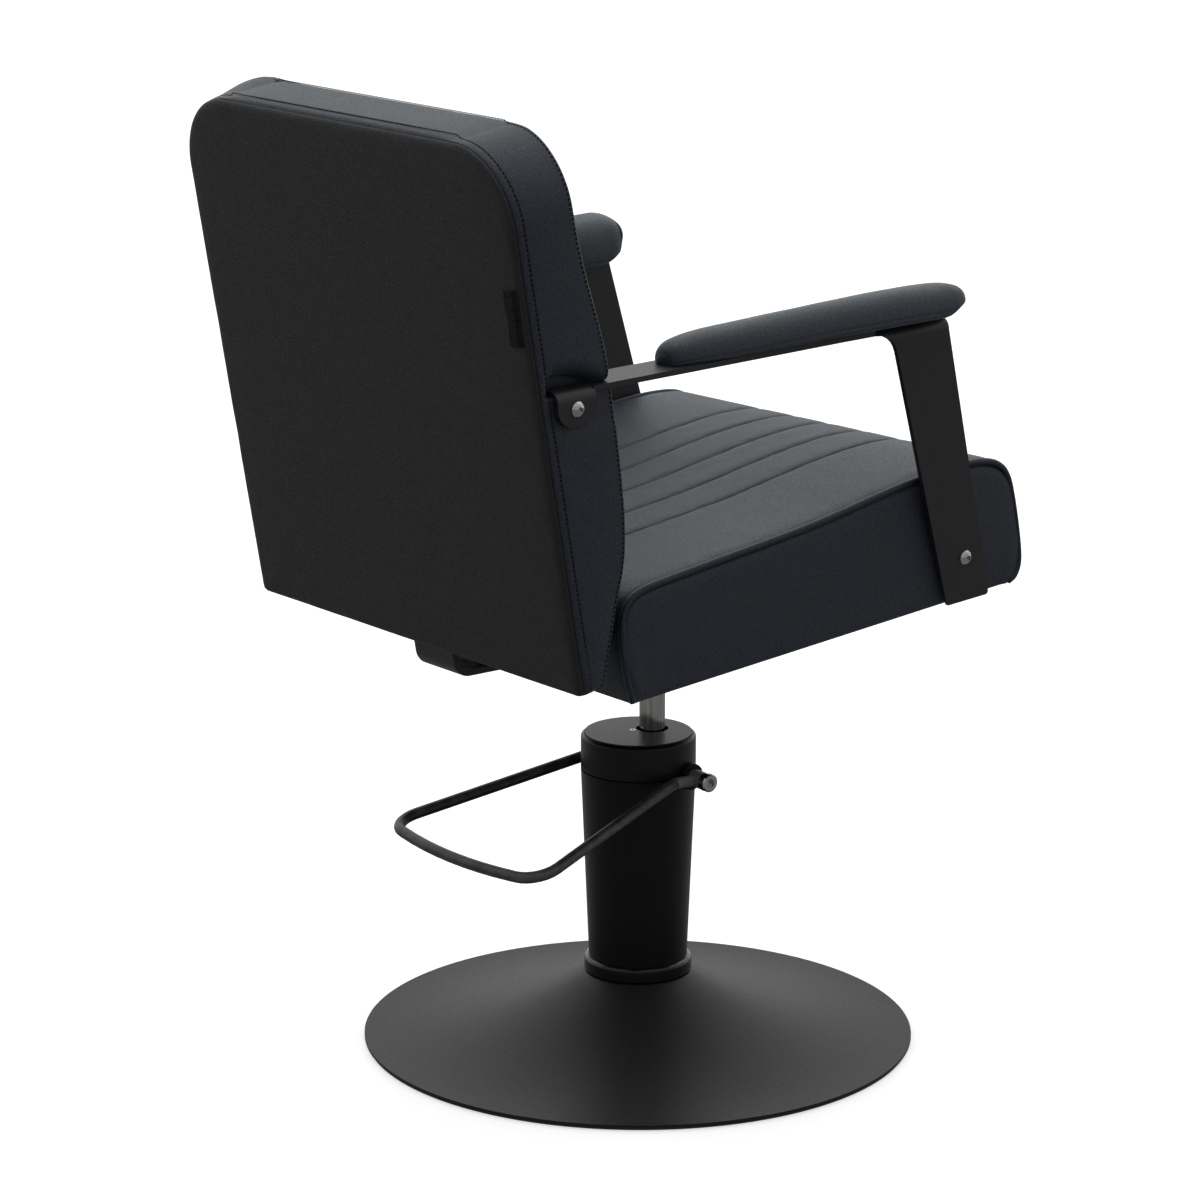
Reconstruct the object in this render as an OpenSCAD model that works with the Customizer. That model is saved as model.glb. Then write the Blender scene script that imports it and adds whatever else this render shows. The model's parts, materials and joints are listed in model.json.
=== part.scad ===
// Hydraulic hairdressing chair: round base, pump column, foot pedal, upholstered seat and back.
// Origin on the floor at the centre of the base. The sitter faces -Y, and +Z is up.
// The lift is drawn part way up, which is the rest pose.

/* [Base] */
// Diameter of the round base
base_d = 535; // [490:1:600]
// Height of the base cover's neck above the floor
base_h = 66; // [56:1:80]
// Diameter of the cover's neck
neck_d = 104; // [103:1:112]
// Height of the cover's rim above the floor
rim_h = 5; // [4:0.5:8]
// Sheet of the base cover
cover_wall = 2; // [1.5:0.1:2.5]
// Diameter of the heavy plate under the cover
plate_d = 360; // [300:1:380]
// Thickness of that plate
plate_t = 8; // [6:0.5:9]
// Height of the rubber floor ring
floor_ring_h = 2.2; // [1.6:0.1:3]
// Width of the rubber floor ring
floor_ring_w = 13; // [9:0.5:18]

/* [Column] */
// Height of the ring at the foot of the column
foot_ring_h = 16; // [12:0.5:22]
// Diameter of that ring
foot_ring_d = 104.8; // [104.5:0.1:112]
// Length of the tapered sleeve
sleeve_h = 188; // [176:1:200]
// Outer diameter of the sleeve at its foot
sleeve_foot_d = 95.6; // [93:0.2:98]
// Outer diameter of the sleeve at its head
sleeve_head_d = 111.2; // [110.6:0.2:114]
// Wall of the sleeve
sleeve_wall = 2.6; // [2:0.1:2.8]
// Height of the straight head cover
head_h = 35; // [33:0.5:40]
// Wall of the head cover
head_wall = 3.2; // [2.4:0.1:3.4]
// Height of the cap's face above the head cover's rim
cap_rise = 1.5; // [0.5:0.1:3]
// Thickness of the cap
cap_t = 6.5; // [5:0.1:7]

/* [Pump] */
// Outer diameter of the oil reservoir tube
reservoir_d = 86; // [82:0.5:87]
// Wall of the reservoir tube
reservoir_wall = 3; // [2:0.1:4]
// Diameter of the flange at the foot of the pump
flange_d = 132; // [130:1:140]
// Thickness of that flange
flange_t = 10; // [8:0.5:12]
// Bore of the pressure cylinder
cylinder_bore = 31; // [30.6:0.1:32]
// Wall of the pressure cylinder
cylinder_wall = 3; // [2:0.1:3.2]
// Offset of the lift axis from the middle of the base, towards the sitter's front
axis_offset = 17; // [16:0.5:18]
// Offset of the pedal axle from the middle of the base, the same way
pivot_offset = 20; // [19:0.5:20.5]
// Diameter of the pump head casting
pump_head_d = 100; // [98:0.5:101]
// Distance from the pedal axle to the pump plunger
plunger_arm = 34; // [33:0.2:35]
// Diameter of the plunger stem
plunger_d = 10; // [8:0.5:11]

/* [Lift] */
// Diameter of the chromed lift rod
rod_d = 25; // [24:0.1:26]
// Radial running clearance of the rod and the piston
running_gap = 0.05; // [0.03:0.01:0.08]
// Height of the piston
piston_h = 20; // [16:0.5:24]
// Height of the seat's underside above the cap, in the rest pose
seat_rise = 130; // [128:1:142]

/* [Pedal] */
// Diameter of the pedal bar
bar_d = 11; // [9:0.5:12]
// Distance between the two ends of the bar
bar_gap = 131; // [129:1:134]
// Length of the straight ends before the bar spreads
bar_stub = 29.8; // [27:0.5:36]
// Length of each spreading arm
bar_arm = 213; // [190:1:230]
// Outward spread of each arm, in degrees
bar_spread = 14.2; // [10:0.2:18]
// Downward slope of each arm, in degrees
bar_drop = 12.4; // [8:0.2:14]
// Radius of the corners of the foot bar
bar_corner_r = 26; // [20:1:32]
// Bow of the foot bar
bar_bow = 13; // [8:0.5:18]
// Diameter of the pedal axle
axle_d = 12; // [10:0.5:13]

/* [Seat] */
// Width of the seat over its piping
seat_w = 476; // [450:1:476]
// Length of the seat cushion
seat_l = 473; // [450:1:490]
// Height of the seat cushion at its front
seat_h = 120; // [112:1:128]
// Distance of the cushion's rear face behind the middle of the base
seat_rear = 197; // [190:1:205]
// Backward tilt of the seat, in degrees
seat_tilt = 5.25; // [4:0.05:6]
// Radius of the welt along the edges
welt_r = 3; // [2:0.1:4]
// Distance between the sewn channels
channel_pitch = 52.5; // [46:0.5:56]
// Depth of the sewn channels
channel_depth = 3; // [2:0.1:4]
// Thickness of the plywood seat board
seat_board_t = 15; // [12:0.5:18]
// Thickness of the steel sheet under the seat
bracket_t = 4; // [3:0.1:5]

/* [Back] */
// Overhang of the back past the seat, on each side
back_over = 12; // [4:0.5:12]
// Height of the back, along its slope
back_h = 497; // [470:1:540]
// Depth of the back at its thickest
back_depth = 83; // [74:1:88]
// Distance of the back's lower rear edge behind the middle of the base
back_y = 265; // [262:0.5:270]
// Height of that edge above the seat's underside at the middle of the base
back_lift = 0; // [-3:0.1:6]
// Recline of the back, in degrees
recline = 9.85; // [8:0.05:11]
// Radius of the upper corners
back_corner_r = 72; // [55:1:85]
// Inward slant of the side border, in degrees
side_slant = 1; // [0:0.5:5]
// Thickness of the rear panel
rear_panel_t = 8; // [6:0.5:9]
// Thickness of the plywood back board
back_board_t = 12; // [9:0.5:13]
// Width of the flat bar that carries the back
strap_w = 60; // [50:1:70]
// Thickness of that bar
strap_t = 6; // [5:0.5:7]
// Outer radius of its bend
strap_bend_r = 18; // [14:0.5:22]

/* [Arms] */
// Thickness of the bent arm plate
arm_t = 5; // [4:0.2:6]
// Distance of the arm plate's outer face from the back's border
arm_over = 5.5; // [5:0.1:7]
// Height of the arm plate's top above the seat's underside, at the middle of the base
arm_lift = 287.8; // [278:0.2:295]
// Forward rise of the arm plate, in degrees
arm_rise = 1.9; // [1:0.1:3]
// Width of the flat part of the arm plate
arm_strip_w = 47; // [44:0.5:52]
// Inward reach of the leg, from its bend to its bolt
leg_in = 10.33; // [8:0.01:10.33]
// Width of the leg at its foot
leg_foot_w = 53; // [48:0.5:58]
// Width of the leg at its head
leg_head_w = 68; // [62:0.5:76]
// Length of the arm pad
pad_l = 320; // [300:1:335]
// Thickness of the arm pad
pad_h = 31; // [26:0.5:34]
// Roll of the pad towards its nose, outer edge up, in degrees
pad_roll = 11; // [0:0.5:12]

/* [Fasteners] */
// Shank of the button head bolts
m8_d = 8; // [7:0.5:8]
// Head of the button head bolts
m8_head_d = 14; // [12.5:0.1:15]
// Height of those heads
m8_head_h = 4.4; // [3.8:0.1:5]
// Hexagon socket of those heads, across flats
m8_socket = 5; // [4:0.5:6]
// Shank of the hexagon bolts
m10_d = 10; // [9:0.5:10]
// Hexagon head, across flats
m10_flats = 17; // [16:0.5:17]
// Height of the hexagon heads
m10_head_h = 6.4; // [5.5:0.1:7]

/* [Hidden] */
$fn = 96;

// Overrun of the cuts
cut = 1;
// Clearance of a piece that is pushed into its seat
seat_gap = 0.1;
// Clearance between soft pieces and what touches them
soft_gap = 0.3;
// Clearance between parts that pass each other
pass_gap = 0.4;

// Heights of the column
plate_top = plate_t;
flange_top = plate_top + flange_t;
ring_top = base_h + foot_ring_h;
seam_z = ring_top + sleeve_h;
rim_z = seam_z + head_h;
cap_z = rim_z + cap_rise;
head_top = cap_z - cap_t;
pivot_z = seam_z;
seat_z = cap_z + seat_rise;

// Base cover
cover_power = 2.2;
cover_steps = 26;
hem_w = 5;
neck_r = neck_d / 2;
base_r = base_d / 2;
floor_ring_inset = 1.5;
function cover_z(share) = rim_h + (base_h - rim_h) * pow(1 - share, cover_power);
function cover_line(in, drop) =
    [for (i = [0:cover_steps]) let (share = i / cover_steps)
        [neck_r - in + (base_r - neck_r) * share, cover_z(share) - drop]];

// Foot ring
ring_wall = 3.2;
ring_lip_h = 7;
ring_lip_r = 2.4;
ring_spigot_h = 9;
ring_round_r = 4;

// Pump
reservoir_r = reservoir_d / 2;
cylinder_r = cylinder_bore / 2;
cylinder_out_r = cylinder_r + cylinder_wall;
head_depth = 44;
reservoir_top = pivot_z - head_depth;
spigot_h = 8;
cavity_drop = 24;
cavity_rise = 17;
cavity_floor = pivot_z - cavity_drop;
cavity_roof = pivot_z + cavity_rise;
cavity_half = 33;
cavity_wall = 6;
cylinder_plug_h = 6;
head_roof = 10;
cylinder_top = head_top - head_roof;
flange_bolt_out = 11;
flange_pitch_r = reservoir_r + flange_bolt_out;
flange_bolt_count = 4;
bolt_tip_gap = 1;
boss_r = 13;
boss_out = 58;
bush_wall = 2;
bush_h = 28;
wiper_wall = 2.7;
wiper_lip = 3.4;
plunger_y = plunger_arm - pivot_offset;
barrel_r = 9;
pocket_depth = 14;
barrel_top = cavity_floor - pocket_depth;
barrel_l = 60;
valve_h = 8;
valve_bore = 4;
button_r = 8.5;
button_h = 5.7;
nose_r = 6;
nose_gap = 0.3;
pocket_r = 10;
stem_l = 68;
spring_wire = 1.2;
spring_coils = 7;
spring_r = 7;
spring_steps = 8;
spring_sides = 6;
button_top = pivot_z - nose_r - nose_gap;
button_foot = button_top - button_h;
spring_foot = barrel_top;

// Lift
rod_depth = 149.5;
rod_foot = cap_z - rod_depth;
piston_r = cylinder_r - running_gap;
bearing_h = 7;
bearing_bore = 9;
piston_foot = rod_foot - bearing_h - piston_h;
seal_h = 6;
seal_depth = 2;
hub_l = 49;
hub_foot_r = 20;
hub_head_r = 24;
web_drop = 21.5;
web_top = seat_z - web_drop;
web_foot = web_top - bracket_t;
hub_foot = web_foot - hub_l;
rod_head_gap = 11;
rod_top = web_foot - rod_head_gap;
rod_l = rod_top - rod_foot;
rod_chamfer = 1.5;
hub_bolt_l = 30;

// Pedal
axle_r = axle_d / 2;
axle_in = 22;
spacer_r = 8.2;
spacer_t = 2.2;
hub_r = 8.5;
hub_in = boss_out + pass_gap + spacer_t + pass_gap;
hub_over = 12;
hub_out = bar_gap / 2 + hub_over;
cap_r = 9;
cap_l = 8;
cap_socket = 8;
cap_socket_depth = 4;
cap_chamfer = 1;
bend_r = 20;
arm_dir = [sin(bar_spread), cos(bar_spread) * cos(bar_drop), -cos(bar_spread) * sin(bar_drop)];
bar_sides = 16;
bar_start = [bar_gap / 2, 0, 0];
bar_knee = bar_start + [0, bar_stub, 0];
bar_corner = bar_knee + arm_dir * bar_arm;
bow_share = 0.72;
bar_apex = bar_bow / (1 - bow_share / 2);
bar_mid = [0, bar_corner.y + bar_apex * cos(bar_drop), bar_corner.z - bar_apex * sin(bar_drop)];
rocker_plate = 8;
rocker_boss_r = 10.5;
rocker_in = 27;
rocker_out = 39;
rocker_half_h = 5;
nose_half = 8;

// Seat. Points of the side outline as shares of its length from the rear and of its height
seat_outline_shares = [
    [0, 0.65], [0.004, 0.73], [0.016, 0.794], [0.034, 0.835], [0.056, 0.853], [0.1, 0.862],
    [0.17, 0.872], [0.26, 0.884], [0.35, 0.896], [0.44, 0.913], [0.53, 0.939], [0.62, 0.97],
    [0.7, 0.992], [0.77, 1.002], [0.83, 0.999], [0.88, 0.986], [0.918, 0.959], [0.948, 0.917],
    [0.967, 0.863], [0.981, 0.77], [0.989, 0.629], [0.996, 0.429], [1, 0.237], [0.995, 0.067]];
seat_nose_share = 0.93;
seat_foot_share = 0.965;
seat_half = seat_w / 2;
seat_edge_r = 2.5;
seat_round = 2.5;
seat_board_inset = 14;
seat_board_corner = 30;
board_gap = 0.5;
flange_half = 92;
web_half = 60;
bracket_front = -120;
bracket_rear = 150;
seat_bolt_x = 76;
seat_bolt_y = [-95, 125];
seat_bolt_l = 16;
dust_t = 1;
dust_inset = 16;
dust_window_gap = 3;
block_t = 20;
block_inset = 6;
block_l = 86;
block_h = 62;

// Back
back_half = seat_half + back_over;
back_outline_shares = [
    [0, 0.29], [0.006, 0.35], [0.05, 0.45], [0.115, 0.6], [0.16, 0.705], [0.19, 0.79], [0.235, 0.875],
    [0.29, 0.93], [0.36, 0.965], [0.44, 0.985], [0.53, 1], [0.6, 0.985], [0.68, 0.93], [0.76, 0.865],
    [0.82, 0.825]];
back_top_shares = [0.83, 0.835, 0.84, 0.845, 0.85, 0.845, 0.82];
back_puff = 3;
back_puff_in = 14;
back_foot_shares = [0.965, 0.99, 1];
back_foot_r = 12;
back_board_inset = 14;
panel_gap = 0.3;
panel_crown = 60;
cover_edge = 2.5;
board_front = rear_panel_t + panel_gap + back_board_t;
strap_rear = board_front + panel_gap;
strap_front_y = 40;
strap_leg_top = 200;
strap_bolt_x = 18;
strap_bolt_s = [70, 165];
strap_bolt_y = [62, 100, 138];
back_block_t = 34;
back_block_w = 38;
back_block_inset = 17;
back_block_h = 62;
back_block_drop = 63.8;
tab_w = 20;
tab_h = 50;
tab_t = 0.8;
tab_s = 349;
tab_in = 3;

// Arms
arm_z = seat_z + arm_lift;
arm_out = back_half + arm_over;
bend_in = 5.5;
bend_out = arm_t + bend_in;
bend_x = arm_out - bend_out;
strip_edge = 7;
bend_lap = 3;
strip_corner = 8;
strip_nose_w = 20;
strip_taper_y = 110;
leg_foot_y = -219;
leg_head_y = -159;
leg_foot_rise = 22.3;
leg_l = arm_lift - leg_foot_rise;
leg_rake = 2.2;
leg_fillet = 25;
leg_corner = 3;
leg_bolt_y = -188;
leg_bolt_rise = 63.8;
leg_bolt_drop = arm_lift - leg_bolt_rise;
leg_lean = atan(leg_in / leg_bolt_drop);
arm_tab_in = 42.27;
arm_tab_y = back_y + arm_lift * tan(recline) - arm_tab_in;
arm_tab_w = 42;
arm_tab_l = 21.5;
arm_tab_r = 16;
arm_bolt_drop = 6.7;
neck_back = 50.7;
neck_y = arm_tab_y - neck_back;
neck_w = 20;
neck_fillet = 8;
arm_bolt_l = 44;
pad_front = -167;
pad_half = 31;
pad_rear_in = 27.5;
pad_rear_x = arm_out - pad_rear_in;
pad_flare = 27;
pad_flare_power = 1.2;
pad_roll_share = 0.5;
pad_lip = 12;
// Stations along the pad from its rear: share of length, of half width and of height
pad_shares = [
    [0, 0.3, 0.32], [0.008, 0.47, 0.5], [0.022, 0.59, 0.63], [0.045, 0.665, 0.72], [0.09, 0.71, 0.8],
    [0.18, 0.745, 0.88], [0.3, 0.785, 0.95], [0.43, 0.83, 1.01], [0.56, 0.885, 1.05], [0.68, 0.94, 1.08],
    [0.79, 0.985, 1.09], [0.87, 1, 1.08], [0.925, 0.97, 1.03], [0.96, 0.87, 0.95], [0.982, 0.7, 0.82],
    [0.995, 0.47, 0.63], [1, 0.27, 0.45]];
// Cross-section of the pad: shares of its half width and of its height
pad_section_shares = [
    [0.9, 0], [0.985, 0.1], [1, 0.32], [0.985, 0.55], [0.9, 0.79], [0.72, 0.93], [0.4, 0.99], [0, 1]];
pad_base_t = 7;
pad_base_inset = 11;
pad_base_share = 0.93;
pad_base_edge = 1;
pad_screw_share = [0.2, 0.72];
m6_d = 6;
m6_head_d = 10.5;
m6_head_h = 3.2;
m6_socket = 4;
pad_screw_l = 11;

// Points of an arc round c, from angle a to angle b
function arc(c, r, a, b, n) =
    [for (i = [0:n]) let (t = a + (b - a) * i / n) [c.x + r * cos(t), c.y + r * sin(t)]];
function unit(v) = v / norm(v);
function lerp(a, b, t) = a + (b - a) * t;
// Arc that rounds the corner b of a path a, b, c in a plane or in space
function fillet(a, b, c, r, n) =
    let (u = unit(a - b), v = unit(c - b), half = acos(u * v) / 2, back = r / tan(half),
         mid = b + unit(u + v) * r / sin(half), p = b + u * back - mid, q = b + v * back - mid,
         turn = acos(max(-1, min(1, p * q / (r * r)))))
    [for (i = [0:n]) mid + (p * sin(turn * (1 - i / n)) + q * sin(turn * i / n)) / sin(turn)];
function mirrored(half) =
    concat(half, [for (i = [len(half) - 2:-1:0]) [-half[i].x, half[i].y, half[i].z]]);
// Outward normal of an outline at its point i, as it runs from the rear over the top to the front
function outline_normal(line, i) =
    let (a = line[max(0, i - 1)], b = line[min(len(line) - 1, i + 1)], d = unit(b - a)) [d.y, -d.x];

// Cap of a ring of n points as rungs from side to side, so that a cut across it stays clean
function rungs(n, first, turn) =
    [for (i = [0:floor(n / 2) - 1])
        let (face = i + 1 < n - 2 - i ? [i, i + 1, n - 2 - i, n - 1 - i] : [i, i + 1, n - 1 - i])
        [for (j = [0:len(face) - 1]) first + face[turn ? len(face) - 1 - j : j]]];

// Closed solid through rings of points, with a cap on each end: one face, or rungs from side to side
module loft(rings, laddered = false) {
    n = len(rings[0]);
    last = (len(rings) - 1) * n;
    polyhedron(
        points = [for (ring = rings) each ring],
        faces = concat(
            laddered ? rungs(n, 0, true) : [[for (j = [n - 1:-1:0]) j]],
            laddered ? rungs(n, last, false) : [[for (j = [0:n - 1]) last + j]],
            [for (i = [0:len(rings) - 2], j = [0:n - 1])
                [i * n + j, i * n + (j + 1) % n, (i + 1) * n + (j + 1) % n]],
            [for (i = [0:len(rings) - 2], j = [0:n - 1])
                [i * n + j, (i + 1) * n + (j + 1) % n, (i + 1) * n + j]]));
}

// Round bar swept along a path that keeps clear of the direction up
module sweep(path, r, up) {
    last = len(path) - 1;
    loft([for (i = [0:last])
        let (d = unit(path[min(last, i + 1)] - path[max(0, i - 1)]),
             side = unit(cross(d, up)), top = cross(side, d))
        [for (j = [0:bar_sides - 1]) let (a = 360 * j / bar_sides)
            path[i] + (side * cos(a) - top * sin(a)) * r]]);
}

module ring(out_r, in_r, h) {
    difference() {
        cylinder(r = out_r, h = h);
        translate([0, 0, -cut]) cylinder(r = in_r, h = h + 2 * cut);
    }
}

module along_x() {
    rotate([0, 90, 0]) children();
}

module both_sides() {
    children();
    mirror([1, 0, 0]) children();
}

module at_axis(z) {
    translate([0, -axis_offset, z]) children();
}

module at_pivot() {
    translate([0, -pivot_offset, pivot_z]) children();
}

module at_seat() {
    translate([0, 0, seat_z]) rotate([-seat_tilt, 0, 0]) children();
}

module at_back() {
    translate([0, back_y, seat_z + back_lift]) rotate([-recline, 0, 0]) children();
}

module at_arm() {
    translate([0, 0, arm_z]) rotate([-arm_rise, 0, 0]) children();
}

// Head up, shank down, seated at z = 0
module button_bolt(d, head_d, head_h, socket, l) {
    edge = head_h / 5;
    dome_h = head_h - edge;
    dome_r = (head_d * head_d / 4 + dome_h * dome_h) / (2 * dome_h);
    difference() {
        union() {
            rotate_extrude() polygon(concat(
                [[0, 0], [head_d / 2, 0]],
                arc([0, head_h - dome_r], dome_r, acos(head_d / 2 / dome_r), 90, 6)));
            translate([0, 0, -l]) cylinder(d = d, h = l + cut / 2);
        }
        translate([0, 0, head_h / 3]) cylinder(d = socket / cos(30), h = head_h, $fn = 6);
    }
}

module hex_bolt(d, flats, head_h, l) {
    cylinder(d = flats / cos(30), h = head_h, $fn = 6);
    translate([0, 0, -l]) cylinder(d = d, h = l + cut);
}

module m8_bolt(l) {
    button_bolt(m8_d, m8_head_d, m8_head_h, m8_socket, l);
}

// Base

module base_cover() {
    color("#2b2b2c") rotate_extrude() polygon(concat(
        cover_line(0, 0),
        [[base_r, floor_ring_h], [base_r - hem_w, floor_ring_h], [base_r - hem_w, rim_h - cover_wall]],
        [for (i = [cover_steps - 1:-1:0]) cover_line(cover_wall, cover_wall)[i]],
        [[neck_r - cover_wall, base_h]]));
}

module base_plate() {
    color("#3a3a3a") difference() {
        cylinder(d = plate_d, h = plate_t);
        flange_holes(plate_t);
    }
}

module flange_holes(h) {
    for (i = [0:flange_bolt_count - 1])
        rotate(360 * (i + 0.5) / flange_bolt_count)
            translate([flange_pitch_r, 0, -cut]) cylinder(r = m10_d / 2 + seat_gap, h = h + 2 * cut);
}

module floor_ring() {
    color("#141414") ring(base_r - floor_ring_inset, base_r - floor_ring_inset - floor_ring_w, floor_ring_h);
}

module foot_ring() {
    lip_z = base_h;
    out_r = foot_ring_d / 2;
    bore_r = reservoir_r + seat_gap;
    color("#1c1c1d") rotate_extrude() polygon(concat(
        [[bore_r, lip_z - ring_spigot_h], [neck_r - cover_wall - seat_gap, lip_z - ring_spigot_h],
         [neck_r - cover_wall - seat_gap, lip_z], [out_r - ring_lip_r, lip_z],
         [out_r, lip_z + ring_lip_r], [out_r, lip_z + ring_lip_h]],
        arc([out_r - ring_round_r, ring_top - ring_round_r], ring_round_r, 0, 90, 6),
        [[bore_r, ring_top]]));
}

// Column covers

module boss_notch() {
    both_sides() at_pivot() translate([cavity_half, 0, 0]) along_x()
        cylinder(r = boss_r + pass_gap, h = boss_out);
}

module lower_sleeve() {
    foot_r = sleeve_foot_d / 2;
    head_r = sleeve_head_d / 2;
    color("#1b1b1c") difference() {
        translate([0, 0, ring_top]) rotate_extrude() polygon([
            [foot_r - sleeve_wall, 0], [foot_r, 0], [head_r, sleeve_h], [head_r - sleeve_wall, sleeve_h]]);
        boss_notch();
    }
}

module head_cover() {
    out_r = sleeve_head_d / 2;
    color("#1b1b1c") difference() {
        translate([0, 0, seam_z]) rotate_extrude() polygon(concat(
            [[out_r - head_wall, 0], [out_r, 0]],
            arc([out_r - head_wall + head_wall / 8, head_h - head_wall], head_wall * 7 / 8, 0, 90, 6),
            [[out_r - head_wall, head_h]]));
        boss_notch();
    }
}

cap_r_out = sleeve_head_d / 2 - head_wall - pass_gap;
wiper_r = rod_d / 2 + running_gap + wiper_wall;
bleed_x = 7;
bleed_y = 1.5;
bleed_r = 3;

module head_cap() {
    color("#232324") difference() {
        translate([0, 0, head_top]) cylinder(r = cap_r_out, h = cap_t);
        at_axis(head_top - cut) cylinder(r = wiper_r + pass_gap, h = cap_t + 2 * cut);
        translate([bleed_x, bleed_y, cap_z - cap_t / 2]) cylinder(r = bleed_r + seat_gap, h = cap_t);
    }
}

module bleed_screw() {
    color("#101010") difference() {
        translate([bleed_x, bleed_y, cap_z - cap_t / 2]) cylinder(r = bleed_r, h = cap_t / 2);
        translate([bleed_x, bleed_y, cap_z - cap_t / 4]) cylinder(r = bleed_r / 2, h = cap_t, $fn = 6);
    }
}

// Pump

module pump_head() {
    color("#4a4b4d") difference() {
        union() {
            translate([0, 0, reservoir_top]) cylinder(d = pump_head_d, h = head_top - reservoir_top);
            translate([0, 0, reservoir_top - spigot_h])
                cylinder(r = reservoir_r - reservoir_wall - seat_gap, h = spigot_h + cut);
            both_sides() at_pivot() translate([cavity_half - cut, 0, 0]) along_x()
                cylinder(r = boss_r, h = boss_out - cavity_half + cut);
        }
        // Seat of the pressure cylinder, and the narrower seat of the wiper seal
        at_axis(reservoir_top - spigot_h - cut)
            cylinder(r = cylinder_out_r + seat_gap, h = cylinder_top - reservoir_top + spigot_h + cut);
        at_axis(cylinder_top - cut) cylinder(r = wiper_r + seat_gap, h = head_top - cylinder_top + 2 * cut);
        // Cavity of the rocker
        intersection() {
            translate([0, 0, cavity_floor])
                cylinder(r = pump_head_d / 2 - cavity_wall, h = cavity_roof - cavity_floor);
            translate([-cavity_half, -pump_head_d, cavity_floor])
                cube([2 * cavity_half, 2 * pump_head_d, cavity_roof - cavity_floor]);
        }
        // Pocket of the plunger's spring, and the seat of its barrel
        translate([0, plunger_y, barrel_top]) cylinder(r = pocket_r, h = cavity_floor - barrel_top + cut);
        translate([0, plunger_y, reservoir_top - spigot_h - cut])
            cylinder(r = barrel_r + seat_gap, h = barrel_top - reservoir_top + spigot_h + 2 * cut);
        // Bores of the axle bushes
        both_sides() at_pivot() translate([cavity_half - cut, 0, 0]) along_x()
            cylinder(r = axle_r + running_gap + bush_wall + seat_gap, h = boss_out);
    }
}

module reservoir_tube() {
    color("#8d9194") translate([0, 0, flange_top])
        ring(reservoir_r, reservoir_r - reservoir_wall, reservoir_top - flange_top);
}

module pump_flange() {
    color("#55585b") translate([0, 0, plate_top]) difference() {
        cylinder(d = flange_d, h = flange_t);
        flange_holes(flange_t);
    }
}

module flange_bolts() {
    color("#b5b8bb") for (i = [0:flange_bolt_count - 1])
        rotate(360 * (i + 0.5) / flange_bolt_count) translate([flange_pitch_r, 0, flange_top])
            hex_bolt(m10_d, m10_flats, m10_head_h, flange_top - bolt_tip_gap);
}

module pressure_cylinder() {
    color("#a9adb0") at_axis(flange_top) difference() {
        cylinder(r = cylinder_out_r, h = cylinder_top - flange_top);
        translate([0, 0, cylinder_plug_h]) cylinder(r = cylinder_r, h = cylinder_top);
    }
}

module rod_bush() {
    color("#b08d4c") at_axis(cylinder_top - bush_h)
        ring(cylinder_r - running_gap, rod_d / 2 + running_gap, bush_h);
}

module wiper_seal() {
    bore_r = rod_d / 2 + running_gap;
    top = head_top - cylinder_top + wiper_lip;
    color("#0d0d0d") at_axis(cylinder_top) rotate_extrude() polygon([
        [bore_r, 0], [wiper_r, 0], [wiper_r, top - wiper_wall / 2], [wiper_r - wiper_wall / 2, top],
        [bore_r, top]]);
}

module plunger_barrel() {
    color("#9a9ea1") translate([0, plunger_y, barrel_top - barrel_l])
        ring(barrel_r, plunger_d / 2 + running_gap, barrel_l);
}

module foot_valve() {
    color("#b08d4c") translate([0, plunger_y, barrel_top - barrel_l - valve_h])
        ring(barrel_r, valve_bore / 2, valve_h);
}

// Compression spring as one wire round the stem, from its pocket up to the button
module plunger_spring() {
    rise = button_foot - spring_foot - spring_wire - pass_gap / 2;
    last = spring_steps * spring_coils;
    wire_r = spring_wire / 2;
    color("#c9cbcd") translate([0, plunger_y, spring_foot + wire_r + pass_gap / 4])
        loft([for (i = [0:last]) let (a = 360 * i / spring_steps)
            [for (j = [0:spring_sides - 1]) let (b = 360 * j / spring_sides, r = spring_r + wire_r * cos(b))
                [r * cos(a), r * sin(a), rise * i / last - wire_r * sin(b)]]]);
}

module axle_bushes() {
    color("#b08d4c") both_sides() at_pivot() translate([cavity_half, 0, 0]) along_x()
        ring(axle_r + running_gap + bush_wall, axle_r + running_gap, boss_out - cavity_half);
}

// Lift

module piston() {
    seal_z = (piston_h - seal_h) / 2;
    color("#9fa3a6") at_axis(piston_foot) difference() {
        cylinder(r = piston_r, h = piston_h);
        translate([0, 0, seal_z]) ring(piston_r + cut, piston_r - seal_depth, seal_h);
    }
}

module piston_seal() {
    color("#0d0d0d") at_axis(piston_foot + (piston_h - seal_h) / 2)
        ring(piston_r, piston_r - seal_depth, seal_h);
}

module thrust_bearing() {
    color("#c4c7c9") at_axis(piston_foot + piston_h) ring(piston_r - pass_gap, bearing_bore / 2, bearing_h);
}

// Seat side of the swivel

module lift_rod() {
    color("#d9dcde") at_axis(rod_foot) difference() {
        union() {
            cylinder(d = rod_d, h = rod_l - rod_chamfer);
            translate([0, 0, rod_l - rod_chamfer])
                cylinder(d1 = rod_d, d2 = rod_d - 2 * rod_chamfer, h = rod_chamfer);
        }
        translate([0, 0, web_top - hub_bolt_l - rod_foot - cut])
            cylinder(r = m10_d / 2 + seat_gap, h = rod_l);
    }
}

module seat_hub() {
    color("#1b1b1c") at_axis(hub_foot) difference() {
        union() {
            cylinder(r1 = hub_foot_r, r2 = hub_head_r, h = hub_l / 2);
            translate([0, 0, hub_l / 2]) cylinder(r = hub_head_r, h = hub_l / 2);
        }
        translate([0, 0, -cut]) cylinder(r = rod_d / 2 + running_gap, h = rod_top - hub_foot + cut);
        cylinder(r = m10_d / 2 + seat_gap, h = hub_l + cut);
    }
}

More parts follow.
